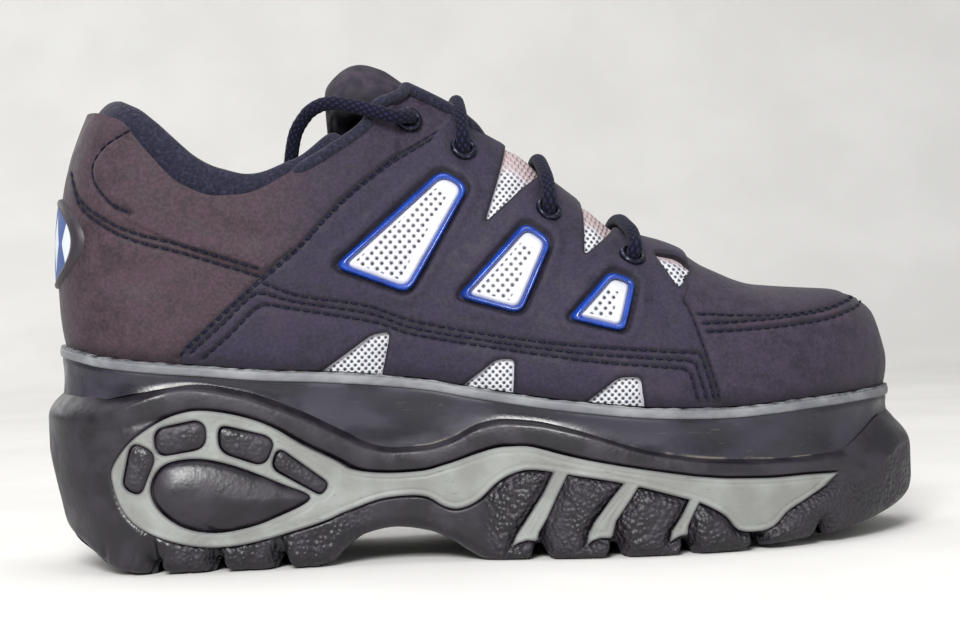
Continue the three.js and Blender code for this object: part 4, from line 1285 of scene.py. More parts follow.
@dataclass
class Tongue:
    """The padded tongue, with a rounded tip that curls back."""

    last: Last
    skin: float = 3.0
    thick: float = 5.5
    tip_thick: float = 9
    tip_round: float = 5
    around: int = 72
    stations: int = 200

    def build(self) -> Skin:
        """Make the tongue as a closed pillow along its own middle line.

        Returns:
            Its mesh, with marks for its edge.
        """
        tip = [(-47.4, 145.0), (-44.6, 149.9), (-39.4, 153.6), (-33.6, 152.9), (-28.6, 150.8)]
        shares = np.linspace(0.42, 0.755, 60)
        crest = self.last.crown(shares, np.zeros(60), self.skin + self.thick / 2)
        middle = smooth_line(np.vstack([np.array(tip), crest[4:, [0, 2]]]), self.stations)
        run = np.linspace(0, np.linalg.norm(np.diff(middle, axis=0), axis=1).sum(), self.stations)
        inset = self.skin + self.thick / 2
        share = (middle[:, 0] + self.last.sole_length / 2 - self.last.wall_inset - inset)
        share = share / (self.last.sole_length - 2 * self.last.wall_inset - 2 * inset)
        width_rows = Table([(0.3, 1.2), (0.38, 1.28), (0.46, 1.55), (0.62, 1.55), (0.76, 1.25)])
        width = width_rows.at(share) * self.last.throat_half
        corner = 1 - np.clip(run / 11, 0, 1)
        square = 0.45 * np.sqrt(np.clip(run / 2, 0.0, 1))
        width = width * (0.55 * (1 - corner**2.6) ** (1 / 2.6) + square)
        thick = self.thick + (self.tip_thick - self.thick) * (1 - step(run, 14, 34))
        end = np.clip(run / self.tip_round, 0, 1)
        thick = 0.5 * thick * np.sqrt(1 - (1 - end) ** 2 * 0.995)
        angle = np.linspace(0, 2 * math.pi, self.around, endpoint=False)
        b = np.sign(np.cos(angle)) * np.abs(np.cos(angle)) ** 0.62
        t = np.sign(np.sin(angle)) * np.abs(np.sin(angle)) ** 0.55
        grid_share = np.repeat(share[:, None], self.around, axis=1)
        y = width[:, None] * b[None, :]
        sheet = self.last.crown(grid_share, y, inset)
        top = self.last.crown(share, np.zeros(len(share)), inset)
        sheet[:, :, 2] += (middle[:, 1] - top[:, 2])[:, None]
        ahead = np.gradient(sheet, axis=0)
        beside = self.last.crown(grid_share, y + 0.2, inset) - self.last.crown(grid_share, y - 0.2, inset)
        out = np.cross(ahead, beside)
        out /= np.maximum(np.linalg.norm(out, axis=2, keepdims=True), 1e-9)
        out *= np.sign(out[:, :, 2:3] + 1e-9)
        puff = 1 + 0.05 * np.sin(run[:, None] / 9) * np.cos(2.4 * b[None, :])
        seam = 0.35 * np.exp(-(((np.abs(b) - 0.86) / 0.05) ** 2))[None, :] * (t > 0)[None, :]
        points = sheet + out * (thick[:, None] * t[None, :] * puff - seam)[:, :, None]
        faces = grid_faces(self.stations, self.around, closed=True)
        caps = []
        for ring, flip in ((0, True), (self.stations - 1, False)):
            ids = ring * self.around + np.arange(self.around)
            fan = np.stack([np.full(self.around - 2, ids[0]), ids[1:-1], ids[2:]], 1)
            caps.append(fan[:, ::-1] if flip else fan)
        # The edge and top marks place the painted shade on the tongue's sides and underside.
        edge = np.broadcast_to(np.abs(b)[None, :] * (t > -0.2)[None, :], y.shape)
        marks = {"edge": edge.ravel().copy(), "top": np.tile(t, self.stations)}
        return Skin(points.reshape(-1, 3), np.vstack([faces, *caps])[:, ::-1], marks)


@dataclass
class CollarRoll:
    """The padded roll of lining cloth round the collar, and the binding of the throat's edge."""

    last: Last
    skin: float = 2.9
    thick: float = 7
    depth: float = 28
    around: int = 36
    stations: int = 150

    def top_up(self, x: Points) -> Points:
        """Height of the roll's top."""
        rows = Table([
            (0.0, 0.99), (0.02, 1.0), (0.049, 1.025), (0.079, 1.02), (0.096, 0.99), (0.119, 0.92),
            (0.139, 0.856), (0.17, 0.766), (0.194, 0.72), (0.222, 0.695), (0.276, 0.745), (0.33, 0.86),
        ])
        return self.last.heel_stack + rows.at(x / self.last.upper_length + 0.5) * self.last.upper_rise

    def build(self) -> Skin:
        """Make the roll from one front end round the heel to the other."""
        shares = self.last.even_shares(3000)
        shares = shares[shares < 0.335]
        half = shares[np.linspace(0, len(shares) - 1, self.stations).astype(int)]
        share = np.concatenate([half[::-1], half[1:]])[:, None]
        side = np.concatenate([np.full(len(half), -1.0), np.full(len(half) - 1, 1.0)])[:, None]
        angle = np.linspace(0, 2 * math.pi, self.around, endpoint=False)[None, :]
        end = np.sqrt(1 - (1 - np.clip((0.336 - share) / 0.03, 0, 1)) ** 2)
        across = np.sign(np.cos(angle)) * np.abs(np.cos(angle)) ** 0.75
        along = np.sign(np.sin(angle)) * np.abs(np.sin(angle)) ** 0.8
        belly = 1 + 0.12 * (along > 0.4)
        inset = self.skin + self.thick / 2 + self.thick / 2 * across * end * belly
        x = (share - 0.5) * self.last.upper_length + 0 * angle
        for _ in range(3):
            top = self.top_up(x)
            up = top - self.depth / 2 + self.depth / 2 * along * (0.55 + 0.45 * end)
            turn = self.last.turn_at(share + 0 * angle, up, inset)
            points = self.last.upper_point(share + 0 * angle, side + 0 * angle, turn, inset)
            x = points[:, :, 0]
        ripple = 0.22 * np.sin(points[:, :, 0] / 3.1 + points[:, :, 1] / 2.7) * (along > 0.2)
        points[:, :, 2] += ripple
        faces = grid_faces(points.shape[0], self.around, closed=True)
        return Skin(points.reshape(-1, 3), faces[:, ::-1])

    def bindings(self, form: Skin, upper: Upper) -> Skin:
        """A rolled cloth binding along the top edge of each side, from the collar to the second eyelet."""
        angle = np.linspace(0, 2 * math.pi, 16, endpoint=False)
        ring = 2.0 * np.stack([np.cos(angle), np.sin(angle)], 1)
        count = 220
        fade = 1 - (1 - np.minimum(1, np.minimum(np.arange(count), np.arange(count)[::-1]) / 18)) ** 2
        parts = []
        for k in range(2):
            base = k * upper.columns * upper.rows + (upper.rows - 1) * upper.columns
            share = form.marks["share"][base : base + upper.columns]
            turn = form.marks["turn"][base : base + upper.columns]
            keep = (share > 0.27) & (share < 0.51)
            rise = 0.1 + 1.4 * step(share[keep], 0.34, 0.42) * (1 - step(share[keep], 0.46, 0.51))
            line = self.last.upper_point(share[keep], form.marks["side"][base], turn[keep], -rise)
            parts.append(tube(even_line(line, count), ring[None] * (0.1 + 0.9 * fade[:, None, None])))
        return joined(parts)


@dataclass
class Lacing:
    """The eyelets, the braided lace over the throat and its one free end."""

    last: Last
    radius: float = 2.3
    hole: float = 2.5
    flange: float = 4.4
    lip: float = 0.8
    seat: float = 0.6
    overlay_lift: float = 0.9
    clear: float = 0.2
    braid_depth: float = 0.2
    strands: int = 7

    def __post_init__(self) -> None:
        """Find the eyelets' places from their shares of the upper's length and rise."""
        rows = np.array([(0.415, 0.903), (0.477, 0.776), (0.571, 0.504), (0.666, 0.296)])
        share = rows[:, 0]
        turn = self.last.turn_at(share, self.last.on_upper(rows)[:, 1], -self.overlay_lift)
        self.places = {}
        for side in Side:
            point = self.last.upper_point(share, side.value, turn, -self.overlay_lift)
            out = self.last.facing(point[:, [0, 2]], side.value)
            for number in range(len(rows)):
                self.places[number, side] = (point[number], out[number], share[number], turn[number])

    def eyelet(self, number: int, side: Side) -> Skin:
        """A rolled metal eyelet, with its barrel."""
        point, out, _, _ = self.places[number, side]
        middle, half = (self.hole + self.flange) / 2, (self.flange - self.hole) / 2
        angle = np.linspace(0, math.pi, 12)
        rise = self.seat + (self.lip + 0.1) * np.maximum(np.sin(angle), 0) ** 0.8 - 0.1
        roll = np.stack([middle + half * np.cos(angle), rise], 1)
        barrel = [(self.hole, -2.6), (self.hole + 0.5, -2.6)]
        profile = np.vstack([[(self.flange, self.seat - 0.7)], roll, barrel])
        across = np.cross(out, [0.0, 0.0, 1.0])
        across /= np.linalg.norm(across)
        up = np.cross(across, out)
        turns = np.linspace(0, 2 * math.pi, 48, endpoint=False)
        ring = across * np.cos(turns)[:, None] + up * np.sin(turns)[:, None]
        points = point + profile[:, 0, None, None] * ring + profile[:, 1, None, None] * out
        return Skin(points.reshape(-1, 3), grid_faces(len(profile), 48, closed=True))

    def braid(self, path: Points) -> Skin:
        """A round braided lace along a path."""
        length = np.linalg.norm(np.diff(path, axis=0), axis=1).sum()
        count = int(length / 0.42)
        path = even_line(path, count)
        around = 36
        angle = np.linspace(0, 2 * math.pi, around, endpoint=False)[None, :]
        run = np.linspace(0, length, count)[:, None]
        pitch = 2 * math.pi * self.radius / self.strands
        one = self.strands * angle / (2 * math.pi) + run / (1.25 * pitch)
        two = self.strands * angle / (2 * math.pi) - run / (1.25 * pitch)
        ridge = np.abs(np.sin(math.pi * one)) * np.abs(np.sin(math.pi * two))
        size = self.radius - self.braid_depth * (1 - ridge**0.6)
        rings = size[:, :, None] * np.stack([np.cos(angle), np.sin(angle)], axis=-1)
        skin = tube(path, rings)
        skin.marks["ridge"] = ridge.ravel()
        return skin

    def bar(self, number: int) -> Skin:
        """The lace's run from one eyelet over the throat and into the one across."""
        _, _, share, turn = self.places[number, Side.OUTER]
        _, _, share_in, turn_in = self.places[number, Side.INNER]
        end_lift = self.overlay_lift + self.seat + self.lip + self.clear + self.radius
        crest_lift = self.overlay_lift + self.clear + self.radius
        rows = [(0.0, -6.5), (0.0, -2.5), (0.0, 1.2), (0.03, 3.9)]
        rows += [(0.12, end_lift - 0.4), (0.3, end_lift - 0.5)]
        points = []
        for part, lift in rows:
            here = turn + (math.pi / 2 - turn) * part
            points.append(self.last.upper_point(share, -1, here, -lift))
        for part in (0.55, 0.8, 1.0):
            here = turn + (math.pi / 2 - turn) * part
            lift = crest_lift + (end_lift - crest_lift) * (1 - part) ** 2 - 0.5
            points.append(self.last.upper_point(share, -1, here, -lift))
        for part in (0.8, 0.55):
            here = turn_in + (math.pi / 2 - turn_in) * part
            lift = crest_lift + (end_lift - crest_lift) * (1 - part) ** 2 - 0.5
            points.append(self.last.upper_point(share_in, 1, here, -lift))
        for part, lift in rows[::-1]:
            here = turn_in + (math.pi / 2 - turn_in) * part
            points.append(self.last.upper_point(share_in, 1, here, -lift))
        return self.braid(smooth_line(np.array(points), 260))

    def free_end_path(self) -> Points:
        """The route of the free end, from the outer top eyelet back and down inside the collar."""
        route = [
            (-0.0235, -0.0265, 0.1392), (-0.0280, -0.0276, 0.1404), (-0.0340, -0.0279, 0.1420),
            (-0.0400, -0.0270, 0.1438), (-0.0460, -0.0252, 0.1452), (-0.0489, -0.0237, 0.1454),
            (-0.0515, -0.0218, 0.1450), (-0.0539, -0.0199, 0.1439), (-0.0560, -0.0178, 0.1422),
            (-0.0592, -0.0144, 0.1374), (-0.0608, -0.0122, 0.1310), (-0.0616, -0.0110, 0.1240),
            (-0.0620, -0.0106, 0.1170), (-0.0622, -0.0104, 0.1100), (-0.0622, -0.0104, 0.1030),
        ]
        point, out, _, _ = self.places[0, Side.OUTER]
        start = np.array([point - 1.5 * out, point + 2.2 * out])
        return smooth_line(np.vstack([start, np.array(route[1:]) / MM]), 160)


@dataclass
class HeelBadge:
    """The oval badge round the back of the heel, with a plain generic motif."""

    last: Last
    width: float = 50
    height: float = 29
    thick: float = 0.8
    middle: float = 0.434

    def on_heel(self, y: Points, up: Points, lift: Points) -> Points:
        """Points on the back of the form at places across and up."""
        low, high = np.zeros(len(y)), np.full(len(y), 0.3)
        centre = self.last.outline(np.zeros(1), 0)[1][0]
        for _ in range(34):
            share = (low + high) / 2
            turn = self.last.turn_at(share, up, -lift)
            here = self.last.upper_point(share, 1, turn, -lift)
            wide = here[:, 1] - self.last.outline(share, 0)[1] > np.abs(y - centre)
            high = np.where(wide, share, high)
            low = np.where(wide, low, share)
        turn = self.last.turn_at(low, up, -lift)
        return self.last.upper_point(low, np.where(y < centre, -1.0, 1.0), turn, -lift)

    def build(self) -> Skin:
        """Make the badge from rings that close on its middle."""
        angle = np.linspace(0, 2 * math.pi, 128, endpoint=False)
        parts = np.concatenate([[1.0, 1.0], np.linspace(0.99, 0.86, 12), np.linspace(0.84, 0.02, 40)])
        centre_y = self.last.outline(np.zeros(1), 0)[1][0]
        centre_z = self.last.heel_stack + self.middle * self.last.upper_rise
        rings, oval, across, above = [], [], [], []
        for k, part in enumerate(parts):
            y = part * self.width / 2 * np.cos(angle)
            z = part * self.height / 2 * np.sin(angle)
            rim = 0.35 * math.exp(-(((part - 0.93) / 0.045) ** 2))
            lift = -0.3 if k == 0 else GAP + self.thick * min(1, (1 - part) / 0.02) ** 0.5 + rim
            rings.append(self.on_heel(centre_y + y, centre_z + z, np.full(len(y), lift)))
            oval.append(np.full(len(y), part))
            across.append(y)
            above.append(z)
        points = np.array(rings).reshape(-1, 3)
        faces = grid_faces(len(parts), len(angle), closed=True)
        a, b, c = (points[faces[:, i]] for i in range(3))
        if np.cross(b - a, c - a)[:, 0].sum() > 0:
            faces = faces[:, ::-1]
        columns = {"oval": oval, "across": across, "above": above}
        marks = {name: np.concatenate(column) for name, column in columns.items()}
        return Skin(points, faces, marks)


# Finishes


def linear(code: str) -> tuple[float, float, float, float]:
    """Turn an sRGB hex colour into the linear colour that shaders use."""
    values = [int(code[i : i + 2], 16) / 255 for i in (1, 3, 5)]
    return (*[v / 12.92 if v <= 0.04045 else ((v + 0.055) / 1.055) ** 2.4 for v in values], 1.0)


def add(tree: Tree, kind: str, inputs: dict | None = None, **settings: object) -> bpy.types.Node:
    """Add one node.

    Args:
        tree: The material's node tree.
        kind: The node's type.
        inputs: For each input, by name or number, a value or the socket that feeds it.
        settings: The node's own settings.

    Returns:
        The node.
    """
    node = tree.nodes.new(kind)
    for name, value in settings.items():
        setattr(node, name, value)
    for name, value in (inputs or {}).items():
        if isinstance(value, Socket):
            tree.links.new(value, node.inputs[name])
        else:
            node.inputs[name].default_value = value
    return node


@dataclass(frozen=True)
class Finish:
    """What every finish shares: its name, its gloss and the nodes that patterns start from."""

    name: str = "finish"
    roughness: float = 0.5
    specular: float = 0.5

    def tree(self) -> tuple[bpy.types.Material, Tree, bpy.types.Node]:
        """Start a material.

        Returns:
            The material, its nodes and its shader.
        """
        material = bpy.data.materials.new(self.name)
        material.use_nodes = True
        tree = material.node_tree
        shader = next(node for node in tree.nodes if node.type == "BSDF_PRINCIPLED")
        shader.inputs["Roughness"].default_value = self.roughness
        shader.inputs["Specular IOR Level"].default_value = self.specular
        return material, tree, shader

    def noise(self, tree: Tree, size_mm: float, detail: float = 3, stretch: tuple = (1, 1, 1)) -> Socket:
        """Noise with patches of a size in millimetres, longer along an axis with a stretch below 1."""
        place = add(tree, "ShaderNodeTexCoord").outputs["Object"]
        scaled = add(tree, "ShaderNodeVectorMath", {0: place, 1: stretch}, operation="MULTIPLY").outputs[0]
        inputs = {"Vector": scaled, "Scale": 1 / (size_mm * MM), "Detail": detail}
        return add(tree, "ShaderNodeTexNoise", inputs).outputs[0]

    def spread(self, tree: Tree, value: object, low: float, high: float, to: tuple = (0, 1)) -> Socket:
        """A value run from one range to another, with a soft start and end."""
        inputs = {0: value, 1: low, 2: high, 3: to[0], 4: to[1]}
        return add(tree, "ShaderNodeMapRange", inputs, interpolation_type="SMOOTHSTEP").outputs[0]

    def mark(self, tree: Tree, name: str) -> Socket:
        """A number that the mesh holds at its points."""
        return add(tree, "ShaderNodeAttribute", attribute_name=name).outputs["Fac"]

    def zone(self, tree: Tree, name: str, low: float, high: float, to: tuple = (0, 1)) -> Socket:
        """A mark of the mesh, run from one range to another."""
        return self.spread(tree, self.mark(tree, name), low, high, to)

    def patches(self, tree: Tree, noise: tuple, low: float, high: float, to: tuple = (0, 1)) -> Socket:
        """Noise, given as its size, detail and stretch, run from one range to another."""
        return self.spread(tree, self.noise(tree, *noise), low, high, to)

    def blend(self, tree: Tree, factor: object, first: object, second: object) -> Socket:
        """Two colours mixed by a factor."""
        node = add(tree, "ShaderNodeMix", data_type="RGBA")
        colours = [socket for socket in node.inputs if socket.type == "RGBA"]
        for socket, value in zip([node.inputs[0], *colours], [factor, first, second]):
            if isinstance(value, Socket):
                tree.links.new(value, socket)
            else:
                socket.default_value = linear(value) if isinstance(value, str) else value
        return next(socket for socket in node.outputs if socket.type == "RGBA")

    def times(self, tree: Tree, first: object, second: object, kind: str = "MULTIPLY") -> Socket:
        """Two numbers put together."""
        return add(tree, "ShaderNodeMath", {0: first, 1: second}, operation=kind).outputs[0]

    def bump(self, tree: Tree, shader: bpy.types.Node, layers: list[tuple]) -> None:
        """Give the shader relief.

        Args:
            tree: The material's nodes.
            shader: Its shader.
            layers: For each layer its height, its depth in millimetres and its strength.
        """
        normal = None
        for height, depth_mm, strength in layers:
            inputs = {"Height": height, "Distance": depth_mm * MM, "Strength": strength}
            if normal is not None:
                inputs["Normal"] = normal
            normal = add(tree, "ShaderNodeBump", inputs).outputs[0]
        tree.links.new(normal, shader.inputs["Normal"])


@dataclass(frozen=True)
class Nubuck(Finish):
    """Nubuck, sanded cowhide with a short nap: matt, heathered, paler where rubbed, with painted shade along
    its seams, at the edges of its mesh openings and at its foot.
    """

    name: str = "nubuck"
    roughness: float = 0.7
    specular: float = 0.25
    brown: str = "#2a1e25"
    pale: str = "#473740"
    dark: str = "#1c1927"
    dark_pale: str = "#342d40"
    # Near-black painted shade, for the seam grooves, the mesh openings' edges, the upper's foot and the
    # tongue's edge.
    painted_shade: str = "#0a090f"
    nap_mm: float = 0.5
    heather_mm: float = 5

    def build(self) -> bpy.types.Material:
        """Make the material."""
        material, tree, shader = self.tree()
        cloud = self.patches(tree, (self.heather_mm, 6), 0.36, 0.68)
        fine = self.patches(tree, (1.1, 4), 0.32, 0.72)
        heather = self.times(tree, self.times(tree, cloud, 0.5), self.times(tree, fine, 0.5), "ADD")
        heel = self.blend(tree, heather, self.brown, self.pale)
        saddle = self.blend(tree, heather, self.dark, self.dark_pale)
        colour = self.blend(tree, self.mark(tree, "saddle"), heel, saddle)
        rub = self.patches(tree, (22, 4, (0.6, 1, 1)), 0.52, 0.75, (0, 0.35))
        colour = self.blend(tree, rub, colour, self.pale)
        # Painted shade in the seam grooves and round the window rims, darkest on the lines themselves.
        near = self.zone(tree, "seam", 0.25, 1.2, (0.75, 0))
        colour = self.blend(tree, near, colour, self.painted_shade)
        # Painted shade on the leather at the edges of the mesh openings and down their cut walls.
        cut = self.zone(tree, "opening", -1.4, -0.1, (0, 0.75))
        colour = self.blend(tree, cut, colour, self.painted_shade)
        # Painted shade on the lowest part of the upper, darkest where it meets the welt.
        foot = self.zone(tree, "up", 3.5, 9, (0.55, 0))
        colour = self.blend(tree, foot, colour, self.painted_shade)
        tree.links.new(colour, shader.inputs["Base Color"])
        rough = self.spread(tree, cloud, 0, 1, (self.roughness - 0.12, self.roughness + 0.12))
        tree.links.new(rough, shader.inputs["Roughness"])
        shader.inputs["Sheen Weight"].default_value = 0.05
        shader.inputs["Sheen Roughness"].default_value = 0.5
        self.bump(tree, shader, [
            (self.noise(tree, self.nap_mm, 5), 0.25, 0.55),
            (self.noise(tree, 4.2, 4), 0.5, 0.35),
        ])
        return material


@dataclass(frozen=True)
class TongueLeather(Nubuck):
    """The tongue's softer nubuck, with painted shade along its turned edge and on its underside."""

    name: str = "tongue_nubuck"

    def build(self) -> bpy.types.Material:
        """Make the material."""
        material, tree, shader = self.tree()
        cloud = self.patches(tree, (5, 6), 0.36, 0.68)
        colour = self.blend(tree, cloud, "#1f1b26", "#352e39")
        # Painted shade along the tongue's turned-down sides and sewn edge.
        edge = self.zone(tree, "edge", 0.78, 0.9, (0, 0.85))
        colour = self.blend(tree, edge, colour, self.painted_shade)
        # Painted shade on the tongue's underside.
        under = self.zone(tree, "top", -0.3, 0.1, (1, 0))
        colour = self.blend(tree, under, colour, "#15141c")
        tree.links.new(colour, shader.inputs["Base Color"])
        self.bump(tree, shader, [(self.noise(tree, 0.6, 5), 0.25, 0.5), (self.noise(tree, 5, 3), 0.6, 0.3)])
        return material


@dataclass(frozen=True)
class MouldedRubber(Finish):
    """Black outsole rubber from an etched mould: leathery pebbles on the lugs, smoother on the wall."""

    name: str = "black_rubber"
    roughness: float = 0.38
    specular: float = 0.5
    black: str = "#110e15"
    worn: str = "#251f29"
    dust: str = "#4f4846"
    pebble_mm: float = 1.5

    def build(self) -> bpy.types.Material:
        """Make the material."""
        material, tree, shader = self.tree()
        cloud = self.patches(tree, (9, 5), 0.35, 0.7)
        colour = self.blend(tree, cloud, self.black, self.worn)
        low = self.zone(tree, "above", 0.5, 7, (0.4, 0))
        specks = self.patches(tree, (1.6, 6), 0.55, 0.75)
        colour = self.blend(tree, self.times(tree, low, specks), colour, self.dust)
        tree.links.new(colour, shader.inputs["Base Color"])
        grain = self.mark(tree, "grain")
        place = add(tree, "ShaderNodeTexCoord").outputs["Object"]
        inputs = {"Vector": place, "Scale": 1 / (self.pebble_mm * MM), "Smoothness": 0.6}
        pebbles = add(tree, "ShaderNodeTexVoronoi", inputs, feature="SMOOTH_F1").outputs["Distance"]
        height = self.times(tree, self.times(tree, pebbles, -1.0), grain)
        rough = self.spread(tree, cloud, 0, 1, (self.roughness - 0.05, self.roughness + 0.16))
        rough = self.times(tree, rough, self.times(tree, grain, 0.12), "ADD")
        tree.links.new(rough, shader.inputs["Roughness"])
        self.bump(tree, shader, [(height, 0.9, 0.9), (self.noise(tree, 0.7, 4), 0.12, 0.35)])
        return material


@dataclass(frozen=True)
class InlayRubber(Finish):
    """Light grey rubber, cast flush in the side: satin, with fine scratches and painted shade near its rim.
    """

    name: str = "grey_rubber"
    roughness: float = 0.5
    specular: float = 0.4
    grey: str = "#777874"
    pale: str = "#8a8c89"
    # Dark grey for the scratches, and for the painted shade at the rim.
    scratch_and_rim_shade: str = "#35333a"
    scratch_mm: float = 0.5

    def build(self) -> bpy.types.Material:
        """Make the material."""
        material, tree, shader = self.tree()
        cloud = self.patches(tree, (14, 4), 0.35, 0.7)
        colour = self.blend(tree, cloud, self.grey, self.pale)
        # Painted shade on the rounded rim, where the inlay meets its black pocket.
        rim = self.zone(tree, "inlay", 0.1, 1.0, (0.75, 0))
        colour = self.blend(tree, rim, colour, self.scratch_and_rim_shade)
        scratch = self.noise(tree, self.scratch_mm, 2, (0.12, 1, 0.8))
        marks = self.spread(tree, scratch, 0.66, 0.74, (0, 0.4))
        colour = self.blend(tree, marks, colour, self.scratch_and_rim_shade)
        tree.links.new(colour, shader.inputs["Base Color"])
        self.bump(tree, shader, [(scratch, 0.1, 0.3), (self.noise(tree, 2.4, 3), 0.15, 0.3)])
        return material


@dataclass(frozen=True)
class SmoothRubber(Finish):
    """The midsole's plain moulded wall: near black, satin, with dusty scuffs and a patchy painted highlight
    along its lip at the wave.
    """

    name: str = "smooth_rubber"
    roughness: float = 0.32
    specular: float = 0.5
    black: str = "#15131d"
    worn: str = "#2a2735"
    # Pale grey for the dusty scuff streaks, and for the painted highlight at the wave.
    dust: str = "#6c655c"

    def build(self) -> bpy.types.Material:
        """Make the material."""
        material, tree, shader = self.tree()
        cloud = self.patches(tree, (11, 5, (0.5, 1, 1)), 0.35, 0.7)
        colour = self.blend(tree, cloud, self.black, self.worn)
        streak = self.patches(tree, (0.9, 3, (0.08, 1, 1)), 0.66, 0.74, (0, 0.22))
        colour = self.blend(tree, streak, colour, self.dust)
        # Painted highlight: a patchy pale line along the midsole's bottom lip at the wave.
        line = self.zone(tree, "above", 0.5, 1.0, (0.8, 0))
        wave_highlight_patches = self.patches(tree, (9, 5), 0.45, 0.6)
        colour = self.blend(tree, self.times(tree, line, wave_highlight_patches), colour, self.dust)
        tree.links.new(colour, shader.inputs["Base Color"])
        rough = self.spread(tree, cloud, 0, 1, (self.roughness - 0.06, self.roughness + 0.2))
        tree.links.new(rough, shader.inputs["Roughness"])
        self.bump(tree, shader, [(self.noise(tree, 0.9, 4), 0.12, 0.35)])
        return material


@dataclass(frozen=True)
class WeltRubber(Finish):
    """The pale strip round the upper's foot: chalky rubber, scuffed dark along its upper edge."""

    name: str = "welt_rubber"
    roughness: float = 0.55
    specular: float = 0.35
    grey: str = "#66676c"
    pale: str = "#858689"
    scuff: str = "#29272b"

    def build(self) -> bpy.types.Material:
        """Make the material."""
        material, tree, shader = self.tree()
        cloud = self.patches(tree, (8, 5, (0.4, 1, 1)), 0.35, 0.7)
        colour = self.blend(tree, cloud, self.grey, self.pale)
        edge = self.zone(tree, "above", 0.3, 1.2, (0.12, 1))
        worn = self.patches(tree, (1.5, 5, (0.35, 1, 1)), 0.44, 0.62)
        colour = self.blend(tree, self.times(tree, edge, worn), colour, self.scuff)
        tree.links.new(colour, shader.inputs["Base Color"])
        self.bump(tree, shader, [(self.noise(tree, 1.0, 4, (0.5, 1, 1)), 0.15, 0.4)])
        return material


@dataclass(frozen=True)
class GlossPlastic(Finish):
    """Royal blue TPU, injection moulded and glossy, with faint handling marks in its gloss."""

    name: str = "blue_gloss"
    roughness: float = 0.22
    specular: float = 0.5
    blue: str = "#0b3b98"
    deep: str = "#082c7a"

    def build(self) -> bpy.types.Material:
        """Make the material."""
        material, tree, shader = self.tree()
        cloud = self.patches(tree, (6, 3), 0.35, 0.7)
        tree.links.new(self.blend(tree, cloud, self.blue, self.deep), shader.inputs["Base Color"])
        ends = (self.roughness - 0.06, self.roughness + 0.14)
        rough = self.patches(tree, (1.4, 4), 0.3, 0.7, ends)
        tree.links.new(rough, shader.inputs["Roughness"])
        shader.inputs["Coat Weight"].default_value = 0.3
        self.bump(tree, shader, [(self.noise(tree, 1.2, 3), 0.08, 0.25)])
        return material


@dataclass(frozen=True)
class BadgePlastic(GlossPlastic):
    """The heel badge: a plain row of white diamonds on muted blue, glossy inside a thin leather rim."""

    name: str = "badge_gloss"
    roughness: float = 0.5
    blue: str = "#27477f"
    white: str = "#c6cad4"
    leather: str = "#231c24"
    pitch_mm: float = 10
    tall_mm: float = 19

    def build(self) -> bpy.types.Material:
        """Make the material."""
        material, tree, shader = self.tree()
        across, above = self.mark(tree, "across"), self.mark(tree, "above")
        wave = add(tree, "ShaderNodeMath", {0: across, 1: self.pitch_mm / 2}, operation="PINGPONG").outputs[0]
        high = add(tree, "ShaderNodeMath", {0: above}, operation="ABSOLUTE").outputs[0]
        wide = self.times(tree, wave, 2.7 / self.pitch_mm)
        reach = self.times(tree, wide, self.times(tree, high, 2 / self.tall_mm), "ADD")
        diamond = self.spread(tree, reach, 0.93, 1.0, (1, 0))
        field = self.blend(tree, diamond, self.blue, self.white)
        rim = self.zone(tree, "oval", 0.86, 0.88)
        colour = self.blend(tree, rim, field, self.leather)
        tree.links.new(colour, shader.inputs["Base Color"])
        self.bump(tree, shader, [(diamond, 0.25, 0.6), (self.noise(tree, 1.2, 3), 0.08, 0.25)])
        return material


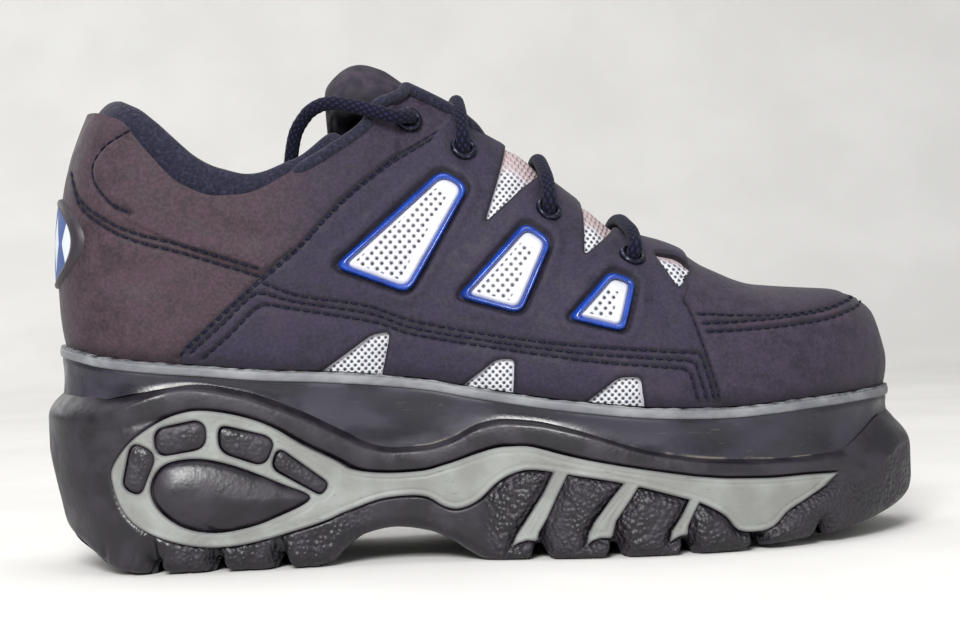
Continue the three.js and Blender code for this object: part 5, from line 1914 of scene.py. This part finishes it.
@dataclass(frozen=True)
class Perforated(Finish):
    """White coated synthetic leather, punched with rows of small round holes inside a plain border, with
    painted shade along the border and a pinkish painted shade where it turns towards the top.
    """

    name: str = "white_panel"
    roughness: float = 0.48
    specular: float = 0.4
    white: str = "#c6c7cc"
    shade: str = "#b9b9c0"
    hole: str = "#2f2d38"
    # Pinkish grey painted shade, for where the mesh turns away towards the top.
    turned_away_shade: str = "#a89698"
    pitch_mm: float = 3.0
    row_mm: float = 1.65
    hole_mm: float = 1.0
    border_mm: float = 1.6

    def build(self) -> bpy.types.Material:
        """Make the material: two square lattices, half a step apart, make the staggered rows."""
        material, tree, shader = self.tree()
        place = add(tree, "ShaderNodeTexCoord").outputs["Object"]
        flat = add(tree, "ShaderNodeVectorMath", {0: place, 1: (1, 0, 1)}, operation="MULTIPLY").outputs[0]
        cell = (self.pitch_mm * MM, 1, 2 * self.row_mm * MM)
        gaps = []
        for shift in ((0, 0, 0), (cell[0] / 2, 0, cell[2] / 2)):
            moved = add(tree, "ShaderNodeVectorMath", {0: flat, 1: shift}, operation="ADD").outputs[0]
            half = tuple(v / 2 for v in cell)
            inputs = {0: moved, 1: half, 2: tuple(-v for v in half)}
            wrapped = add(tree, "ShaderNodeVectorMath", inputs, operation="WRAP").outputs[0]
            pressed = add(tree, "ShaderNodeVectorMath", {0: wrapped, 1: (1, 0, 1)}, operation="MULTIPLY")
            level = pressed.outputs[0]
            gaps.append(add(tree, "ShaderNodeVectorMath", {0: level}, operation="LENGTH").outputs["Value"])
        gap = self.times(tree, gaps[0], gaps[1], "MINIMUM")
        radius = self.hole_mm * MM / 2
        hole = self.spread(tree, gap, radius * 0.8, radius * 1.25, (1, 0))
        inner = self.zone(tree, "punched", self.border_mm, self.border_mm + 0.3)
        # Where the mesh turns towards the top it gets the pinkish painted shade and loses its holes.
        high = self.zone(tree, "turn", 1.0, 1.15)
        smooth = self.zone(tree, "turn", 1.0, 1.15, (1, 0))
        hole = self.times(tree, self.times(tree, hole, inner), smooth)
        cloud = self.patches(tree, (7, 4), 0.35, 0.7)
        colour = self.blend(tree, cloud, self.white, self.shade)
        # Painted shade along the border, next to the raised frame or the leather's cut edge.
        edge = self.zone(tree, "border", 0.0, 0.9, (0.5, 0))
        colour = self.blend(tree, edge, colour, "#8f8c99")
        colour = self.blend(tree, high, colour, self.turned_away_shade)
        colour = self.blend(tree, hole, colour, self.hole)
        tree.links.new(colour, shader.inputs["Base Color"])
        dent = self.spread(tree, gap, radius * 0.7, radius * 1.9, (0, 1))
        dent = self.times(tree, self.times(tree, dent, 1.0, "SUBTRACT"), inner)
        self.bump(tree, shader, [(dent, 0.5, 0.9), (self.noise(tree, 0.6, 4), 0.08, 0.4)])
        return material


@dataclass(frozen=True)
class LiningCloth(Finish):
    """Navy polyester lining, a fine napped knit over foam: very matt, with a soft sheen."""

    name: str = "navy_cloth"
    roughness: float = 0.9
    specular: float = 0.2
    navy: str = "#181726"
    light: str = "#353347"
    knit_mm: float = 0.9

    def build(self) -> bpy.types.Material:
        """Make the material."""
        material, tree, shader = self.tree()
        place = add(tree, "ShaderNodeTexCoord").outputs["Object"]
        inputs = {"Vector": place, "Scale": 1 / (self.knit_mm * MM)}
        knit = add(tree, "ShaderNodeTexVoronoi", inputs).outputs["Distance"]
        fuzz = self.patches(tree, (1.2, 6), 0.35, 0.75)
        colour = self.blend(tree, self.times(tree, fuzz, knit), self.navy, self.light)
        tree.links.new(colour, shader.inputs["Base Color"])
        shader.inputs["Sheen Weight"].default_value = 0.12
        shader.inputs["Sheen Roughness"].default_value = 0.5
        relief = [(self.times(tree, knit, -1.0), 0.35, 0.6), (self.noise(tree, 3, 4), 0.5, 0.3)]
        self.bump(tree, shader, relief)
        return material


@dataclass(frozen=True)
class BraidedLace(Finish):
    """Round polyester lace, braided: navy black, with a little light on the raised strands."""

    name: str = "navy_lace"
    roughness: float = 0.8
    specular: float = 0.12
    navy: str = "#080816"
    raised: str = "#20203c"

    def build(self) -> bpy.types.Material:
        """Make the material."""
        material, tree, shader = self.tree()
        ridge = self.zone(tree, "ridge", 0.25, 0.95)
        colour = self.blend(tree, ridge, self.navy, self.raised)
        tree.links.new(colour, shader.inputs["Base Color"])
        shader.inputs["Sheen Weight"].default_value = 0.05
        self.bump(tree, shader, [(self.noise(tree, 0.35, 3), 0.2, 0.6)])
        return material


@dataclass(frozen=True)
class Thread(Finish):
    """Bonded nylon sewing thread, navy black and faintly shiny."""

    name: str = "thread"
    roughness: float = 0.6
    specular: float = 0.15

    def build(self) -> bpy.types.Material:
        """Make the material."""
        material, tree, shader = self.tree()
        twist = self.noise(tree, 0.5, 2)
        colour = self.blend(tree, self.spread(tree, twist, 0.35, 0.65), "#090918", "#1b1b34")
        tree.links.new(colour, shader.inputs["Base Color"])
        self.bump(tree, shader, [(twist, 0.15, 0.5)])
        return material


@dataclass(frozen=True)
class EnamelledBrass(Finish):
    """Dark enamelled metal eyelets: smooth, with a bright glint where the enamel is thin."""

    name: str = "dark_metal"
    roughness: float = 0.28
    specular: float = 0.5

    def build(self) -> bpy.types.Material:
        """Make the material."""
        material, tree, shader = self.tree()
        worn = self.patches(tree, (1.3, 4), 0.5, 0.75)
        colour = self.blend(tree, worn, "#1d1f2c", "#4a4f63")
        tree.links.new(colour, shader.inputs["Base Color"])
        shader.inputs["Metallic"].default_value = 0.75
        self.bump(tree, shader, [(self.noise(tree, 0.9, 3), 0.06, 0.3)])
        return material


@dataclass(frozen=True)
class StudioFloor(Finish):
    """Plain pale paper sweep, matt."""

    name: str = "floor"
    roughness: float = 0.85
    specular: float = 0.2

    def build(self) -> bpy.types.Material:
        """Make the material."""
        material, tree, shader = self.tree()
        cloud = self.patches(tree, (90, 3), 0.35, 0.7)
        tree.links.new(self.blend(tree, cloud, "#d3d2cf", "#d9d8d5"), shader.inputs["Base Color"])
        return material


# The studio


@dataclass
class Studio:
    """Camera, floor and soft lights, at the photograph's angle to the shoe."""

    distance: float = 750
    azimuth: float = -6
    height: float = 95
    aim_up: float = 76.9
    beside: float = 1.4
    roll: float = 2.05
    lens: float = 85.05
    shift_px: float = 6
    frame_width_px: float = 960

    def camera(self) -> None:
        """Place the camera, rolled as the photograph is."""
        turn = math.radians(self.azimuth)
        sideways, ahead = math.sin(turn) * self.distance, -math.cos(turn) * self.distance
        place = Vector((self.beside + sideways, ahead, self.height)) * MM
        aim = Vector((self.beside, 0, self.aim_up)) * MM
        data = bpy.data.cameras.new("camera")
        data.sensor_width = 36
        data.lens = self.lens
        data.shift_x = -self.shift_px / self.frame_width_px
        data.clip_start = 0.01
        camera = bpy.data.objects.new("camera", data)
        bpy.context.scene.collection.objects.link(camera)
        back = (place - aim).normalized()
        right = Vector((0, 0, 1)).cross(back).normalized()
        up = back.cross(right)
        lean = math.radians(self.roll)
        right_rolled = right * math.cos(lean) - up * math.sin(lean)
        up_rolled = right * math.sin(lean) + up * math.cos(lean)
        matrix = camera.matrix_world.copy()
        for row in range(3):
            matrix[row] = (right_rolled[row], up_rolled[row], back[row], place[row])
        camera.matrix_world = matrix
        bpy.context.scene.camera = camera

    def floor(self) -> None:
        """Lay the floor, which sweeps up into a backdrop far behind."""
        turn = np.linspace(0, math.pi / 2, 20)
        bend = 500.0
        profile = [(-2600.0, 0.0), (900.0, 0.0)]
        profile += [(900 + bend * math.sin(t), bend * (1 - math.cos(t))) for t in turn[1:]]
        profile += [(1400.0, 2600.0)]
        points = np.array([(x, y, z) for y, z in profile for x in (-4000.0, 4000.0)])
        mesh = bpy.data.meshes.new("floor")
        faces = [(2 * k, 2 * k + 1, 2 * k + 3, 2 * k + 2) for k in range(len(profile) - 1)]
        mesh.from_pydata((points * MM).tolist(), [], faces)
        for polygon in mesh.polygons:
            polygon.use_smooth = True
        mesh.materials.append(StudioFloor().build())
        floor = bpy.data.objects.new("floor", mesh)
        bpy.context.scene.collection.objects.link(floor)

    def lights(self) -> None:
        """Set a large key light near the camera, a fill, a top light and a pale surround."""
        rows = [
            ("key", (-0.35, -1.2, 0.85), 0.5, 27),
            ("fill", (1.1, -0.9, 0.5), 1.0, 2.5),
            ("top", (0.0, 0.15, 1.3), 0.9, 6),
            ("rear", (-0.9, 0.8, 0.7), 0.9, 5),
        ]
        for name, place, size, power in rows:
            data = bpy.data.lights.new(name, "AREA")
            data.size = size
            data.energy = power
            light = bpy.data.objects.new(name, data)
            light.location = place
            light.rotation_euler = (Vector((0, 0, 0.07)) - Vector(place)).to_track_quat("-Z", "Y").to_euler()
            bpy.context.scene.collection.objects.link(light)
        world = bpy.data.worlds.new("surround")
        world.use_nodes = True
        background = next(node for node in world.node_tree.nodes if node.type == "BACKGROUND")
        background.inputs[0].default_value = linear("#f2f3f6")
        background.inputs[1].default_value = 0.55
        bpy.context.scene.world = world

    def colours(self) -> None:
        """Show colours as a plain photograph does."""
        bpy.context.scene.view_settings.view_transform = "Standard"


# The whole shoe


def build_free_end(lacing: Lacing, material: bpy.types.Material) -> None:
    path = lacing.free_end_path()
    piece = show("lace_free_end", lacing.braid(path), material, ("lace_end",))
    route = [tuple(point) for point in path * MM]
    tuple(route[0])


def build_sole(last: Last) -> None:
    """Make the outsole, inlays, midsole, welt and insole."""
    sole = Sole(last)
    wall = sole.wall()
    rubber = MouldedRubber().build()
    tread = sole.tread()
    outsole = joined([wall, tread])
    show("outsole_rubber", outsole, rubber, ("outsole",))
    inlay_rubber = InlayRubber().build()
    for side, name in ((Side.OUTER, "right"), (Side.INNER, "left")):
        inlay = sole.inlay(wall, side)
        show("inlay_rubber_" + name, inlay, inlay_rubber, ("inlay_" + name,))
    show("midsole_wall", sole.midsole(), SmoothRubber().build(), ("midsole",))
    show("welt_strip", sole.welt(), WeltRubber().build(), ("welt",))
    show("insole_cover", sole.insole(), LiningCloth(name="insole_cloth").build(), ("insole",))


def build_upper(last: Last, cloth: bpy.types.Material) -> None:
    """Make the upper with its lining, mesh, windows and stitches, and the collar's roll."""
    upper = Upper(last)
    form = upper.grid()
    show("upper_leather", upper.leather(form), Nubuck().build(), ("upper",))
    show("upper_lining", upper.lining(), cloth)
    white = Perforated().build()
    mesh = Perforated(name="white_mesh", pitch_mm=2.2, row_mm=1.2, hole_mm=0.85, border_mm=0.2).build()
    show("mesh_panels", upper.mesh_panels(form), mesh)
    blue = GlossPlastic().build()
    for number in range(len(upper.windows)):
        for side, word in ((Side.OUTER, "right"), (Side.INNER, "left")):
            node = f"{number + 1}_{word}"
            rim = upper.window_frame(number, side)
            show("window_rim_" + node, rim, blue, ("window_frame_" + node,))
            panel = upper.window_panel(number, side)
            show("window_sheet_" + node, panel, white, ("window_panel_" + node,))
    show("stitches", upper.stitches(), Thread().build())
    roll = CollarRoll(last)
    padding = show("collar_padding", roll.build(), cloth, ("collar_roll",))
    show("edge_bindings", roll.bindings(form, upper), cloth)


def main() -> None:
    """Build the scene: camera and cord first, then the shoe from the sole up."""
    logging.basicConfig(level=logging.INFO, format="%(message)s")
    last = Last()
    studio = Studio()
    studio.camera()
    lace = BraidedLace().build()
    lacing = Lacing(last)
    build_free_end(lacing, lace)
    studio.floor()
    studio.lights()
    studio.colours()
    build_sole(last)
    build_upper(last, LiningCloth().build())
    tongue = show("tongue_pad", Tongue(last).build(), TongueLeather().build(), ("tongue",))
    metal = EnamelledBrass().build()
    for number in range(4):
        for side, word in ((Side.OUTER, "right"), (Side.INNER, "left")):
            node = f"eyelet_{number + 1}_{word}"
            show("rolled_" + node, lacing.eyelet(number, side), metal, (node,))
    for number in (1, 2, 3):
        show(f"lace_run_{number}", lacing.bar(number), lace, (f"lace_bar_{number}",))
    show("heel_oval", HeelBadge(last).build(), BadgePlastic().build(), ("heel_badge",))


if __name__ == "__main__":
    main()
